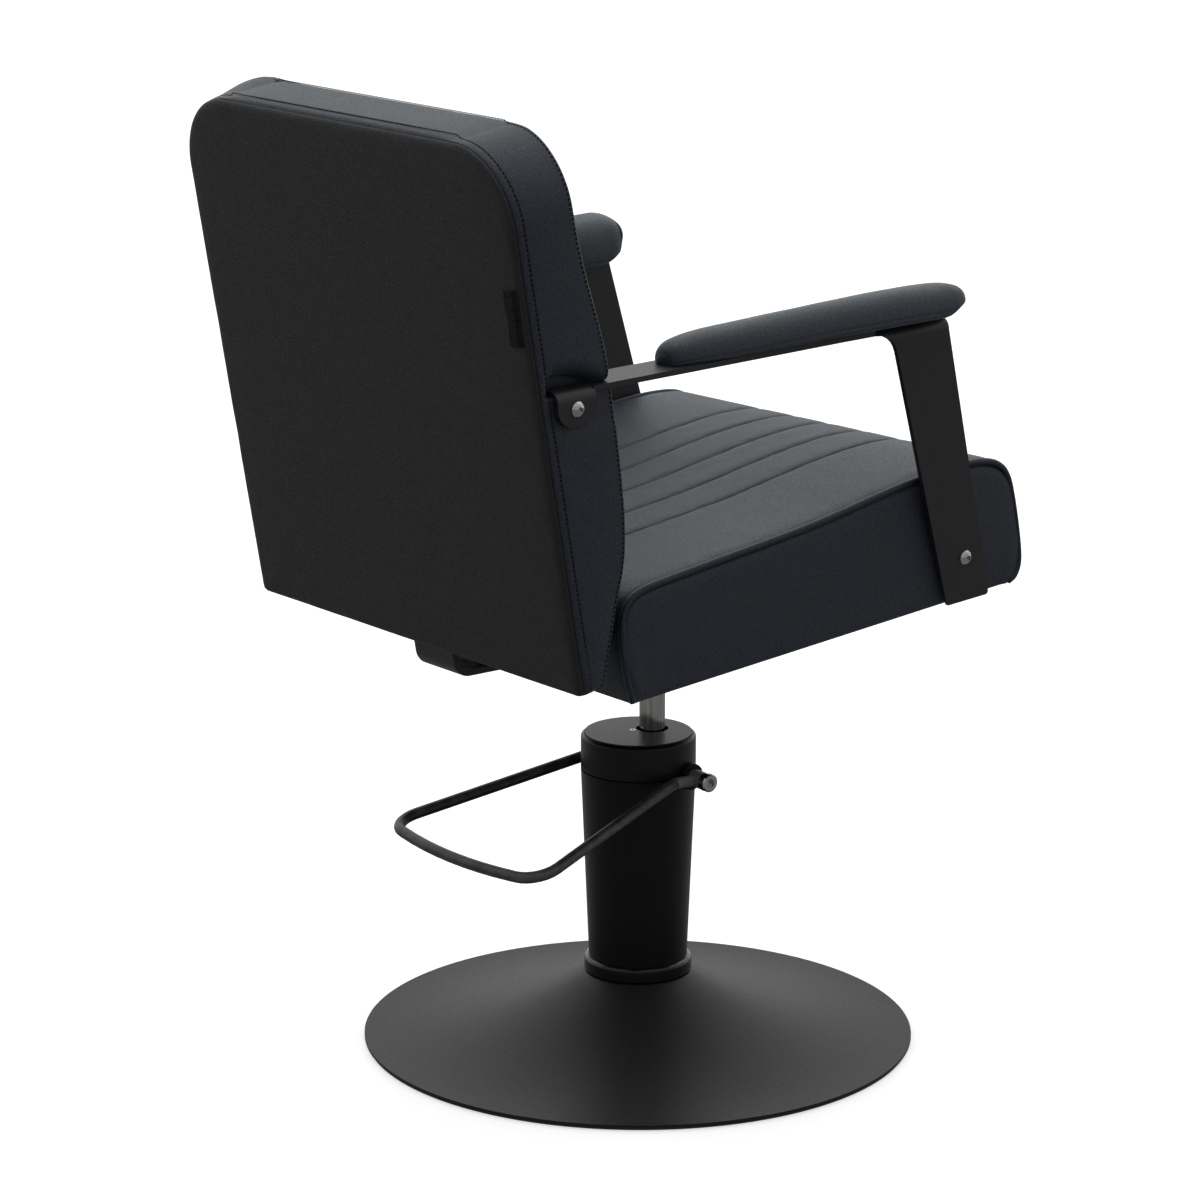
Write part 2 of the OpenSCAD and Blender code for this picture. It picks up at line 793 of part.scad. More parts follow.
module hub_bolt() {
    color("#b5b8bb") at_axis(web_top) hex_bolt(m10_d, m10_flats, m10_head_h, hub_bolt_l);
}

module seat_bracket() {
    color("#1b1b1c") difference() {
        union() {
            translate([-web_half, bracket_front, web_foot])
                cube([2 * web_half, bracket_rear - bracket_front, bracket_t]);
            intersection() {
                both_sides() translate([web_half - bracket_t, bracket_front, web_foot])
                    cube([bracket_t, bracket_rear - bracket_front, web_drop + seat_h]);
                at_seat() translate([-flange_half, -seat_l, -seat_l])
                    cube([2 * flange_half, 2 * seat_l, seat_l - dust_t]);
            }
            both_sides() at_seat() translate([web_half - bracket_t, bracket_front, -bracket_t])
                cube([flange_half - web_half + bracket_t, bracket_rear - bracket_front, bracket_t]);
        }
        at_axis(web_foot - cut) cylinder(r = m10_d / 2 + seat_gap, h = bracket_t + 2 * cut);
        for (y = strap_bolt_y)
            translate([0, y, web_foot - cut]) cylinder(r = m8_d / 2 + seat_gap, h = bracket_t + 2 * cut);
        seat_bolt_holes(bracket_t);
    }
}

module seat_bolt_holes(h) {
    both_sides() at_seat() for (y = seat_bolt_y)
        translate([seat_bolt_x, y, -bracket_t - cut]) cylinder(r = m8_d / 2 + seat_gap, h = h + 2 * cut);
}

module seat_bolts() {
    color("#b5b8bb") both_sides() at_seat() for (y = seat_bolt_y)
        translate([seat_bolt_x, y, -bracket_t]) rotate([180, 0, 0]) m8_bolt(seat_bolt_l);
}

module dust_cover() {
    window = flange_half + dust_window_gap;
    color("#161616") at_seat() difference() {
        translate([-seat_half + dust_inset, seat_rear - seat_l + dust_inset * 2, -dust_t])
            cube([seat_w - 2 * dust_inset, seat_l - 3 * dust_inset, dust_t]);
        translate([-window, bracket_front - dust_window_gap, -dust_t - cut])
            cube([2 * window, bracket_rear - bracket_front + 2 * dust_window_gap, dust_t + 2 * cut]);
    }
}

// Plan of a board under the cushion, as far from its edge as the inset
module seat_plan(inset, corner) {
    x = seat_half - inset - corner;
    front = seat_rear - seat_l * seat_foot_share + inset + corner;
    rear = seat_rear - inset - corner;
    hull() for (sx = [-x, x], y = [front, rear]) translate([sx, y]) circle(r = corner, $fn = 32);
}

module seat_board() {
    color("#b48a55") difference() {
        at_seat() linear_extrude(seat_board_t) seat_plan(seat_board_inset, seat_board_corner);
        seat_bolt_holes(seat_board_t + bracket_t);
    }
}

module leg_bolt_place() {
    at_arm() translate([bend_x, leg_bolt_y, -bend_out]) rotate([0, leg_lean, 0])
        translate([bend_out, 0, -leg_bolt_drop]) rotate([0, 90, 0]) children();
}

module tab_bolt_place() {
    at_arm() translate([arm_out, arm_tab_y, -bend_out - arm_bolt_drop]) rotate([0, 90, 0]) children();
}

// Timber block on the board that the leg's bolt screws into
module seat_side_blocks() {
    x = seat_half - block_inset - block_t;
    y = leg_bolt_y - block_l / 2 - m8_d;
    color("#b48a55") difference() {
        both_sides() at_seat() translate([x, y, seat_board_t]) cube([block_t, block_l, block_h]);
        both_sides() leg_bolt_place() translate([0, 0, -arm_bolt_l - cut])
            cylinder(r = m8_d / 2 + seat_gap, h = arm_bolt_l + cut);
    }
}

// One ring of the seat cushion: p is the outline's point, n its normal, q the foot below it
function seat_ring(p, n, q, depth) =
    let (r = welt_r, w = seat_half, c = channel_pitch,
         side = [[w - seat_round, 0, 0], [w - seat_edge_r, 0.03, 0], [w - seat_edge_r / 2, 0.3, 0],
                 [w - seat_edge_r / 2, 0.6, 0], [w - seat_edge_r, 0.85, 0], [w - r * 1.2, 1, -r * 2.4]],
         welt = [for (a = [-50, 0, 45, 90, 145]) [w - r + r * cos(a), 1, r * sin(a) - r]],
         panel = [[w - r * 2.7, 1, -r * 1.3], [w - r * 5, 1, -r * 0.6], [w - c, 1, 0],
                  [w - c * 1.8, 1, -r * 0.2]],
         rows = [for (k = [2, 1]) each [[k * c + depth * 1.5, 1, -r / 2], [k * c, 1, -depth - r / 2],
                                        [k * c - depth * 1.5, 1, -r / 2], [(k - 0.5) * c, 1, r / 6]]],
         middle = [[depth * 1.5, 1, -r / 2], [0, 1, -depth - r / 2]],
         half = concat(side, welt, panel, rows, middle))
    [for (v = mirrored(half)) let (b = lerp(q, p, v.y) + n * v.z) [v.x, b.x, b.y]];

function seat_point(share) = [seat_rear - seat_l * share.x, seat_h * share.y];

function seat_rings() =
    let (line = [for (s = seat_outline_shares) seat_point(s)], last = len(line) - 1,
         nose = [for (i = [0:last]) if (seat_outline_shares[i].x > seat_nose_share) i], first = nose[0])
    [for (i = [0:last])
        let (s = i < first ? seat_outline_shares[i].x
                 : lerp(seat_outline_shares[first - 1].x, seat_foot_share,
                        (i - first + 1) / (last - first + 1)),
             fade = i == last ? 0.4 : i == 0 ? 0.6 : 1)
        seat_ring(line[i], -outline_normal(line, i), [seat_rear - seat_l * s, 0], channel_depth * fade)];

module seat_cushion() {
    color("#1f2022") difference() {
        at_seat() loft(seat_rings());
        at_seat() translate([0, 0, -cut]) linear_extrude(seat_board_t + cut + soft_gap)
            seat_plan(seat_board_inset - board_gap, seat_board_corner);
        both_sides() at_seat() translate([seat_half - block_inset - block_t - soft_gap,
                leg_bolt_y - block_l / 2 - m8_d - soft_gap, seat_board_t])
            cube([block_t + 2 * soft_gap, block_l + 2 * soft_gap, block_h + soft_gap]);
        both_sides() leg_bolt_place() translate([0, 0, -arm_bolt_l - cut])
            cylinder(r = m8_d / 2 + soft_gap, h = arm_bolt_l);
    }
}

// Back

// Rear outline of the back in its own plane, drawn in by the inset
function back_outline(inset) =
    let (x = back_half - inset, top = back_h - inset, r = max(back_corner_r - inset, cover_edge),
         f = max(back_foot_r - inset, cover_edge))
    concat(arc([x - f, inset + f], f, -90, 0, 3), arc([x - r, top - r], r, 0, 90, 9),
           arc([r - x, top - r], r, 90, 180, 9), arc([f - x, inset + f], f, 180, 270, 3));

module rear_panel() {
    levels = [[panel_crown, 0], [cover_edge * 4, cover_edge / 8], [cover_edge / 2, cover_edge / 3],
              [0, cover_edge * 0.8], [0, rear_panel_t * 0.75], [cover_edge / 3, rear_panel_t]];
    color("#222325") at_back() loft([for (l = levels)
        [for (p = back_outline(l[0])) [p.x, -l[1], p.y]]]);
}

module back_plan(inset, h) {
    rotate([90, 0, 0]) linear_extrude(h) polygon(back_outline(inset));
}

module back_board() {
    color("#b48a55") difference() {
        at_back() translate([0, -rear_panel_t - panel_gap, 0]) back_plan(back_board_inset, back_board_t);
        back_strap_bolts(m8_d / 2 + seat_gap, back_board_t);
    }
}

module back_strap_bolts(r, depth) {
    at_back() for (s = strap_bolt_s, x = [-strap_bolt_x, strap_bolt_x])
        translate([x, -strap_rear - strap_t - cut, s]) rotate([-90, 0, 0])
            cylinder(r = r, h = depth + strap_t + 2 * cut);
}

// The flat bar runs under the bracket, bends and follows the back board upwards
function strap_line(out) =
    let (n = [cos(recline), -sin(recline)], up = [sin(recline), cos(recline)],
         foot = web_foot - strap_t, r = strap_bend_r,
         face = [back_y, seat_z + back_lift] - n * strap_rear,
         cz = foot + r, cy = (face * n - r - cz * n.y) / n.x,
         in = out ? 0 : strap_t)
    concat([[strap_front_y, foot + in]], arc([cy, cz], r - in, -90, -recline, 10),
           [face - n * in + up * strap_leg_top]);

module back_strap() {
    inside = strap_line(false);
    color("#1b1b1c") difference() {
        translate([-strap_w / 2, 0, 0]) rotate([90, 0, 90]) linear_extrude(strap_w)
            polygon(concat(strap_line(true), [for (i = [len(inside) - 1:-1:0]) inside[i]]));
        back_strap_bolts(m8_d / 2 + seat_gap, back_board_t);
        for (y = strap_bolt_y)
            translate([0, y, web_foot - strap_t - cut])
                cylinder(r = m8_d / 2 + seat_gap, h = strap_t + 2 * cut);
    }
}

module strap_bolts() {
    color("#b5b8bb") {
        for (y = strap_bolt_y)
            translate([0, y, web_foot - strap_t]) rotate([180, 0, 0])
                m8_bolt(strap_t + bracket_t + m8_head_h);
        at_back() for (s = strap_bolt_s, x = [-strap_bolt_x, strap_bolt_x])
            translate([x, -strap_rear - strap_t, s]) rotate([90, 0, 0]) m8_bolt(strap_t + back_board_t);
    }
}

block_x = back_half - back_block_inset - back_block_w;
block_s = arm_lift - back_block_drop;

module back_side_blocks() {
    color("#b48a55") difference() {
        both_sides() at_back() translate([block_x, -board_front - back_block_t, block_s])
            cube([back_block_w, back_block_t, back_block_h]);
        both_sides() tab_bolt_place() translate([0, 0, -arm_bolt_l - cut])
            cylinder(r = m8_d / 2 + seat_gap, h = arm_bolt_l + cut);
    }
}

// One ring of the back cushion at height s: half width w, from the depth rear to the depth t
function back_ring(s, w, t, fade, rear = rear_panel_t + panel_gap) =
    let (slant = (t - rear) * tan(side_slant), c = channel_pitch, d = channel_depth,
         front = w - slant, e = cover_edge,
         side = [[w - e * 2, rear], [w - e / 2, rear + e / 2],
                 for (f = [0.2, 0.4, 0.6]) [w - slant * f, lerp(rear, t, f)],
                 [front - e / 3, t - e * 2], [front - e * 1.6, t - e / 2]],
         panel = [[front - e * 2.6, t - e * (0.4 + fade / 2)],
                  for (x = [front - e * 6, front - c / 2, lerp(front - c / 2, 2 * c + d * 1.5, 0.6)])
                      [x, t + e * (1 - pow(x / front, 2))]],
         rows = [for (k = [2, 1]) each [[k * c + d * 1.5, 0], [k * c, -d], [k * c - d * 1.5, 0],
                                        [(k - 0.5) * c, e / 2]],
                 [d * 1.5, 0], [0, -d]],
         face = [for (p = rows) [p.x, t + e * (1 - pow(p.x / front, 2)) + p.y * fade]],
         half = [for (p = concat(side, panel, face)) [p.x, p.y, 0]])
    [for (v = mirrored(half)) [v.x, -v.y, s]];

function back_rings() =
    let (steps = len(back_top_shares) - 1)
    concat(
        [for (i = [0:len(back_outline_shares) - 1])
            let (s = back_outline_shares[i].x * back_h)
            back_ring(s, i < len(back_foot_shares) ? back_half * back_foot_shares[i] : back_half,
                      back_outline_shares[i].y * back_depth, min(1, i / 3))],
        [for (i = [0:steps]) let (a = 90 * i / steps)
            back_ring(back_h - back_corner_r * (1 - sin(a)), back_half - back_corner_r * (1 - cos(a)),
                      back_top_shares[i] * back_depth, 1 - i / steps / 2)],
        [back_ring(back_h + back_puff, back_half - back_corner_r - back_puff_in,
                   back_top_shares[steps] * back_depth - back_puff_in / 2, 0,
                   rear_panel_t + panel_gap + back_puff_in)]);

module back_cushion() {
    rear = rear_panel_t + panel_gap;
    slot_l = arm_tab_y + arm_tab_w / 2 + soft_gap - neck_y;
    color("#1f2022") difference() {
        at_back() loft(back_rings(), true);
        at_back() translate([0, -rear + cut, 0])
            back_plan(back_board_inset - board_gap, back_board_t + soft_gap + cut);
        // Pocket of the flat bar and its bolt heads, open at the foot
        at_back() translate([-strap_w / 2 - soft_gap, -strap_rear - strap_t - m8_head_h - soft_gap, -cut])
            cube([strap_w + 2 * soft_gap, strap_rear + strap_t + m8_head_h + soft_gap - rear + cut,
                  strap_leg_top + soft_gap + cut]);
        both_sides() at_back() translate([block_x - soft_gap, -board_front - back_block_t, block_s])
            translate([0, -soft_gap, -soft_gap])
                cube([back_block_w + 2 * soft_gap, back_block_t + cut, back_block_h + 2 * soft_gap]);
        both_sides() tab_bolt_place() translate([0, 0, -arm_bolt_l - cut])
            cylinder(r = m8_d / 2 + soft_gap, h = arm_bolt_l);
        // Slot where the arm plate presses into the side
        both_sides() at_arm() translate([0, neck_y, 0]) {
            translate([arm_out - neck_w - 2 * soft_gap, 0, -arm_t - soft_gap])
                cube([neck_w + bend_out, slot_l, arm_t + 2 * soft_gap]);
            translate([bend_x - soft_gap, 0, -bend_out - soft_gap]) cube([2 * bend_out, slot_l, bend_out]);
            translate([arm_out - arm_t - soft_gap, 0, -bend_out - arm_tab_l - soft_gap])
                cube([2 * bend_out, slot_l, bend_out + arm_tab_l]);
        }
    }
}

module seam_tab() {
    color("#0c0c0c") at_back() translate([-back_half + tab_in, 0, tab_s - tab_h / 2])
        cube([tab_w, tab_t, tab_h]);
}

// Arms

// Section of the plate across its bend, from the flat to the end of the side that leans inward
function bend_section(lean, l) =
    let (c = [bend_x, -bend_out], down = [-sin(lean), -cos(lean)] * l, out = [cos(lean), -sin(lean)])
    concat([[bend_x - bend_lap, -arm_t], [bend_x - bend_lap, 0]], arc(c, bend_out, 90, -lean, 10),
           [c + out * bend_out + down, c + out * bend_in + down], arc(c, bend_in, -lean, 90, 10));

// Side of the plate with its bend, trimmed to an outline in Y and Z
module bent_side(lean, outline) {
    front = min([for (p = outline) p.x]) - cut;
    rear = max([for (p = outline) p.x]) + cut;
    foot = min([for (p = outline) p.y]);
    intersection() {
        translate([0, rear, 0]) rotate([90, 0, 0]) linear_extrude(rear - front)
            polygon(bend_section(lean, -foot + cut));
        translate([bend_x - bend_lap - cut, 0, 0]) rotate([90, 0, 90])
            linear_extrude(bend_lap + bend_out + 2 * cut) polygon(outline);
    }
}

// Outline of the leg, with a round root under the strip
function leg_outline() =
    let (foot = -leg_l - bend_out, head = leg_head_y + leg_head_w, a = [leg_foot_y, foot],
         b = [leg_head_y, -bend_out], c = [head, -arm_t], d = [leg_foot_y + leg_foot_w, foot - leg_rake],
         root = fillet(d, c, c + [leg_head_w, 0], leg_fillet, 6))
    concat([[leg_head_y, cut], b], fillet(b, a, d, leg_corner, 3), fillet(a, d, c, leg_corner, 3), root,
           [[root[6].x, cut]]);

function tab_outline() =
    let (front = arm_tab_y - arm_tab_w / 2, rear = arm_tab_y + arm_tab_w / 2, foot = -arm_tab_l - bend_out,
         a = [front, cut], b = [front, foot], c = [rear, foot], d = [rear, cut])
    concat([a], fillet(a, b, c, arm_tab_r, 8), fillet(b, c, d, arm_tab_r, 8), [d]);

// Plan of the flat strip. Its outer edge stands past the bend line between the leg and the tab
function strip_outline() =
    let (front = leg_head_y, root = leg_outline()[len(leg_outline()) - 1].x,
         tab = arm_tab_y - arm_tab_w / 2, rear = arm_tab_y + arm_tab_w / 2,
         inner = arm_out - arm_strip_w, nose = arm_out - strip_nose_w, neck = arm_out - neck_w,
         a = [bend_x, front], b = [nose, front], c = [inner, strip_taper_y], d = [inner, neck_y],
         e = [neck, neck_y])
    concat([a], fillet(a, b, c, strip_corner, 5), [c], fillet(c, d, e, strip_corner, 5),
           fillet(d, e, [neck, rear], neck_fillet, 5),
           [[neck, rear], [bend_x, rear], [bend_x, tab], [bend_x + strip_edge, tab],
            [bend_x + strip_edge, root], [bend_x, root]]);

module arm_frame() {
    difference() {
        union() {
            translate([0, 0, -arm_t]) linear_extrude(arm_t) polygon(strip_outline());
            bent_side(leg_lean, leg_outline());
            bent_side(0, tab_outline());
        }
        translate([bend_x, leg_bolt_y, -bend_out]) rotate([0, leg_lean, 0]) translate([0, 0, -leg_bolt_drop])
            along_x() cylinder(r = m8_d / 2 + seat_gap, h = bend_out + cut);
        translate([bend_x, arm_tab_y, -bend_out - arm_bolt_drop])
            along_x() cylinder(r = m8_d / 2 + seat_gap, h = bend_out + cut);
        pad_screw_places() translate([0, 0, -arm_t - cut])
            cylinder(r = m6_d / 2 + seat_gap, h = arm_t + 2 * cut);
    }
}

module arm_frame_left() {
    color("#1b1b1c") at_arm() arm_frame();
}

module arm_frame_right() {
    mirror([1, 0, 0]) arm_frame_left();
}

module arm_bolts() {
    color("#c4c7c9") both_sides() {
        leg_bolt_place() m8_bolt(arm_bolt_l);
        tab_bolt_place() m8_bolt(arm_bolt_l);
    }
}

function pad_x(share) = pad_rear_x + pad_flare * pow(share, pad_flare_power);
function pad_y(share) = pad_front + pad_l * (1 - share);
// Inner edge of the flat strip at a station along it
function strip_inner(y) = arm_out - lerp(strip_nose_w, arm_strip_w,
                                         max(0, min(1, (y - leg_head_y) / (strip_taper_y - leg_head_y))));

// Rings of the pad, rolled about the edge of the strip
function pad_rings() =
    [for (st = pad_shares)
        let (w = pad_half * st[1], h = pad_h * st[2], a = pad_roll * min(1, st[0] / pad_roll_share))
        [for (v = mirrored([for (s = pad_section_shares) [s.x, s.y, 0]]))
            let (x = pad_x(st[0]) + v.x * w - bend_x, z = v.y * h)
            [bend_x + x * cos(a) - z * sin(a), pad_y(st[0]), x * sin(a) + z * cos(a)]]];

// Plan of the stiff base inside the pad, over the flat of the strip
module pad_base_plan(grow) {
    rows = [for (st = pad_shares) if (st[1] > 0.6 && st[0] < pad_base_share)
        let (x = pad_x(st[0]), w = pad_half * st[1] - pad_base_inset, y = pad_y(st[0]))
        [max(x - w, strip_inner(y) + pad_base_edge) - grow, min(x + w, bend_x - pad_base_edge) + grow, y]];
    polygon(concat([for (r = rows) [r[0], r[2]]], [for (i = [len(rows) - 1:-1:0]) [rows[i][1], rows[i][2]]]));
}

module pad_screw_places() {
    for (s = pad_screw_share) translate([pad_x(s) - pad_base_inset / 2, pad_y(s), 0]) children();
}

module arm_pad() {
    front = leg_head_y - soft_gap;
    rear = pad_front + 2 * pad_l;
    difference() {
        loft(pad_rings());
        translate([0, 0, -cut]) linear_extrude(pad_base_t + soft_gap + cut) pad_base_plan(soft_gap);
        // The strip's own room under the pad
        translate([0, 0, -pad_lip]) linear_extrude(pad_lip) polygon([
            [strip_inner(front) - soft_gap, front], [strip_inner(strip_taper_y) - soft_gap, strip_taper_y],
            [strip_inner(rear) - soft_gap, rear], [2 * arm_out, rear], [2 * arm_out, front]]);
    }
}

module arm_pad_left() {
    color("#1f2022") at_arm() arm_pad();
}

module arm_pad_right() {
    mirror([1, 0, 0]) arm_pad_left();
}

module arm_pad_bases() {
    color("#b48a55") both_sides() at_arm() difference() {
        linear_extrude(pad_base_t) pad_base_plan(0);
        pad_screw_places() translate([0, 0, -cut])
            cylinder(r = m6_d / 2 + seat_gap, h = pad_base_t + 2 * cut);
    }
}

module arm_pad_screws() {
    color("#2a2a2a") both_sides() at_arm() pad_screw_places() translate([0, 0, -arm_t]) rotate([180, 0, 0])
        button_bolt(m6_d, m6_head_d, m6_head_h, m6_socket, pad_screw_l);
}

// Pedal

function flip(p) = [-p.x, p.y, p.z];

function bar_path() =
    let (bow = (bar_mid - bar_corner) * bow_share,
         right = concat([bar_start], fillet(bar_start, bar_knee, bar_corner, bend_r, 4),
                        fillet(bar_knee, bar_corner, bar_mid, bar_corner_r, 7)),
         left = [for (i = [len(right) - 1:-1:0]) flip(right[i])],
         reach = norm(bow), half = acos(unit(bar_corner - bar_mid) * unit(flip(bar_corner) - bar_mid)) / 2,
         foot = fillet(bar_corner, bar_mid, flip(bar_corner), reach * tan(half), 8))
    concat(right, foot, left);

module pedal_bar() {
    color("#161617") at_pivot() difference() {
        sweep(bar_path(), bar_d / 2, [0, sin(bar_drop), cos(bar_drop)]);
        both_sides() translate([hub_in - bar_d, 0, 0]) along_x()
            cylinder(r = hub_r, h = hub_out - hub_in + bar_d);
    }
}

module pedal_hubs() {
    color("#161617") both_sides() at_pivot() translate([hub_in, 0, 0]) along_x()
        ring(hub_r, axle_r, hub_out - hub_in);
}

module pedal_axles() {
    color("#c4c7c9") both_sides() at_pivot() translate([axle_in, 0, 0]) along_x()
        cylinder(r = axle_r, h = hub_out - axle_in);
}

module axle_spacers() {
    color("#c4c7c9") both_sides() at_pivot() translate([boss_out + pass_gap, 0, 0]) along_x()
        ring(spacer_r, axle_r, spacer_t);
}

module axle_caps() {
    color("#d9dcde") both_sides() at_pivot() translate([hub_out, 0, 0]) along_x() difference() {
        union() {
            cylinder(r = cap_r, h = cap_l - cap_chamfer);
            translate([0, 0, cap_l - cap_chamfer])
                cylinder(r1 = cap_r, r2 = cap_r - cap_chamfer, h = cap_chamfer);
        }
        translate([0, 0, cap_l - cap_socket_depth]) cylinder(d = cap_socket / cos(30), h = cap_l, $fn = 6);
    }
}

// Fork round the pressure cylinder, with a round nose that pushes the plunger
module pump_rocker() {
    color("#6d7073") at_pivot() difference() {
        union() {
            both_sides() translate([axle_in, 0, 0]) {
                along_x() cylinder(r = rocker_boss_r, h = rocker_plate);
                translate([0, 0, -rocker_half_h]) cube([rocker_plate, rocker_out, 2 * rocker_half_h]);
            }
            translate([-axle_in - cut, rocker_in, -rocker_half_h])
                cube([2 * (axle_in + cut), rocker_out - rocker_in, 2 * rocker_half_h]);
            translate([-nose_half, plunger_arm, 0]) along_x() cylinder(r = nose_r, h = 2 * nose_half);
        }
        both_sides() translate([axle_in - cut, 0, 0]) along_x()
            cylinder(r = axle_r, h = rocker_plate + 2 * cut);
    }
}

module pump_plunger() {
    color("#c4c7c9") translate([0, plunger_y, 0]) {
        translate([0, 0, button_foot]) cylinder(r = button_r, h = button_h);
        translate([0, 0, button_foot - stem_l]) cylinder(d = plunger_d, h = stem_l + cut);
    }
}

base_cover();
base_plate();
floor_ring();
foot_ring();
lower_sleeve();
head_cover();
head_cap();
bleed_screw();
pump_head();
reservoir_tube();
pump_flange();
flange_bolts();
pressure_cylinder();
rod_bush();
wiper_seal();
plunger_barrel();
foot_valve();
plunger_spring();
axle_bushes();
piston();
piston_seal();
thrust_bearing();
lift_rod();
seat_hub();
hub_bolt();
seat_bracket();
seat_bolts();
dust_cover();
seat_board();
seat_side_blocks();
seat_cushion();
back_strap();
strap_bolts();
back_board();
back_side_blocks();
back_cushion();
rear_panel();
seam_tab();
arm_frame_right();
arm_frame_left();
arm_bolts();
arm_pad_bases();
arm_pad_right();
arm_pad_left();
arm_pad_screws();
pedal_bar();
pedal_hubs();
pedal_axles();
axle_spacers();
axle_caps();
pump_rocker();
pump_plunger();
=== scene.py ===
import json
import math

import bmesh
import bpy
import numpy as np
from mathutils import Matrix, Vector


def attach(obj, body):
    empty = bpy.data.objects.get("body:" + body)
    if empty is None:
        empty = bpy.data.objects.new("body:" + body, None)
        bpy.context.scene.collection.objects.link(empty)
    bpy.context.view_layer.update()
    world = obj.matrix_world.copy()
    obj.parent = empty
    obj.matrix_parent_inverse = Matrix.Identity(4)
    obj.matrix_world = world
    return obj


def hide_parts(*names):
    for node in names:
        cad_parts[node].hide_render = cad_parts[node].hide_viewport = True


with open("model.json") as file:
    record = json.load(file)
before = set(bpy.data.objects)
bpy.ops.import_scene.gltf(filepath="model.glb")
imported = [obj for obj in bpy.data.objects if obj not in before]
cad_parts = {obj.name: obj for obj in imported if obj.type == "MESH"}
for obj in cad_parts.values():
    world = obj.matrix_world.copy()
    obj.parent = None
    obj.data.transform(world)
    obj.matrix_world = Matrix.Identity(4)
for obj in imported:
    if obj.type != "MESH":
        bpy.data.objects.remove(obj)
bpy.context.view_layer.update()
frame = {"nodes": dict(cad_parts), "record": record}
nodes = frame["nodes"]

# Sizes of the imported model, in metres and radians
SEAT_Z = 0.4365
SEAT_TILT = math.radians(5.25)
SEAT_L, SEAT_H, SEAT_REAR, SEAT_HALF = 0.473, 0.120, 0.197, 0.238
WELT_R = 0.003
PITCH = 0.0525
BACK_Y, BACK_Z = 0.265, 0.4365
RECLINE = math.radians(9.85)
BACK_HALF, BACK_H, BACK_DEPTH, BACK_R = 0.250, 0.497, 0.083, 0.072
SEAM_T = 0.0050
ARM_Z = 0.7243
ARM_RISE = math.radians(1.9)
ARM_OUT = 0.2555
BEND_X = 0.245
PAD_L, PAD_FRONT, PAD_HALF, PAD_H = 0.320, -0.167, 0.031, 0.031
PAD_REAR_X, PAD_FLARE, PAD_POWER = 0.228, 0.027, 1.2
PAD_ROLL, PAD_ROLL_SHARE = math.radians(11), 0.5
STRIP_NOSE_W, STRIP_W, STRIP_TAPER_Y, LEG_HEAD_Y = 0.020, 0.047, 0.110, -0.159

# Side outline of the seat, as shares of its length from the rear and of its height
SEAT_SHARES = [
    (0, 0), (-0.004, 0.06), (-0.0095, 0.17), (-0.014, 0.32), (-0.0155, 0.46), (-0.014, 0.58), (-0.0085, 0.69),
    (0.001, 0.762), (0.014, 0.812), (0.034, 0.848), (0.058, 0.866), (0.1, 0.879), (0.17, 0.894), (0.26, 0.912),
    (0.35, 0.930), (0.44, 0.951), (0.53, 0.983), (0.62, 1.024), (0.7, 1.057), (0.77, 1.077), (0.83, 1.084),
    (0.88, 1.078), (0.922, 1.057), (0.954, 1.012), (0.975, 0.945), (0.988, 0.85), (0.996, 0.70), (1.003, 0.48),
    (1.007, 0.26), (1.006, 0.15), (1.0, 0.075), (0.989, 0.018), (0.973, -0.01)]
# Front of the back, as shares of its height and depth, and the depths round its top corner
BACK_SHARES = [
    (0, 0.29), (0.006, 0.35), (0.05, 0.45), (0.115, 0.6), (0.16, 0.705), (0.19, 0.79), (0.235, 0.875),
    (0.29, 0.93), (0.36, 0.965), (0.44, 0.985), (0.53, 1), (0.6, 0.985), (0.68, 0.93), (0.76, 0.865),
    (0.855, 0.83)]
BACK_TOP = [0.83, 0.835, 0.84, 0.845, 0.85, 0.845, 0.82]
# Share of the pad's length from its rear end, and of its half width and height there
PAD_SHARES = [
    (0, 0.26, 0.30), (0.008, 0.41, 0.47), (0.022, 0.50, 0.6), (0.045, 0.575, 0.70), (0.09, 0.66, 0.79),
    (0.15, 0.715, 0.86), (0.2, 0.75, 0.892), (0.3, 0.785, 0.95), (0.43, 0.83, 1.01), (0.56, 0.885, 1.05),
    (0.68, 0.94, 1.08),
    (0.79, 0.985, 1.09), (0.87, 1, 1.08), (0.93, 0.985, 1.05), (0.962, 0.91, 0.99), (0.984, 0.76, 0.89),
    (0.996, 0.53, 0.75), (1, 0.30, 0.62)]


def catmull(points, count):
    """Points spaced evenly along a smooth line through the given ones, and their place among them."""
    p = np.array(points, float)
    d = np.maximum(np.linalg.norm(np.diff(p[:, :2], axis=0), axis=1), 1e-9)
    t = np.concatenate([[0], np.cumsum(np.sqrt(d))])
    m = np.gradient(p, t, axis=0)
    fine_t = np.linspace(0, t[-1], 40 * len(p))
    i = np.clip(np.searchsorted(t, fine_t, side="right") - 1, 0, len(p) - 2)
    h = (t[i + 1] - t[i])[:, None]
    u = ((fine_t - t[i])[:, None]) / h
    fine = ((2 * u**3 - 3 * u**2 + 1) * p[i] + (u**3 - 2 * u**2 + u) * h * m[i]
            + (-2 * u**3 + 3 * u**2) * p[i + 1] + (u**3 - u**2) * h * m[i + 1])
    s = np.concatenate([[0], np.cumsum(np.linalg.norm(np.diff(fine[:, :2], axis=0), axis=1))])
    want = np.linspace(0, s[-1], count)
    return np.stack([np.interp(want, s, fine[:, k]) for k in range(p.shape[1])], 1)


def smooth(x):
    x = np.clip(x, 0, 1)
    return x * x * (3 - 2 * x)


# Share of its height by which the padding has settled, by share of the seat's length from the rear
SETTLED = [(0, 0), (0.1, 0.016), (0.26, 0.031), (0.44, 0.04), (0.62, 0.053), (0.77, 0.07), (0.9, 0.085)]
SETTLE_MID, SETTLE_SLOPE = 0.4, 0.4


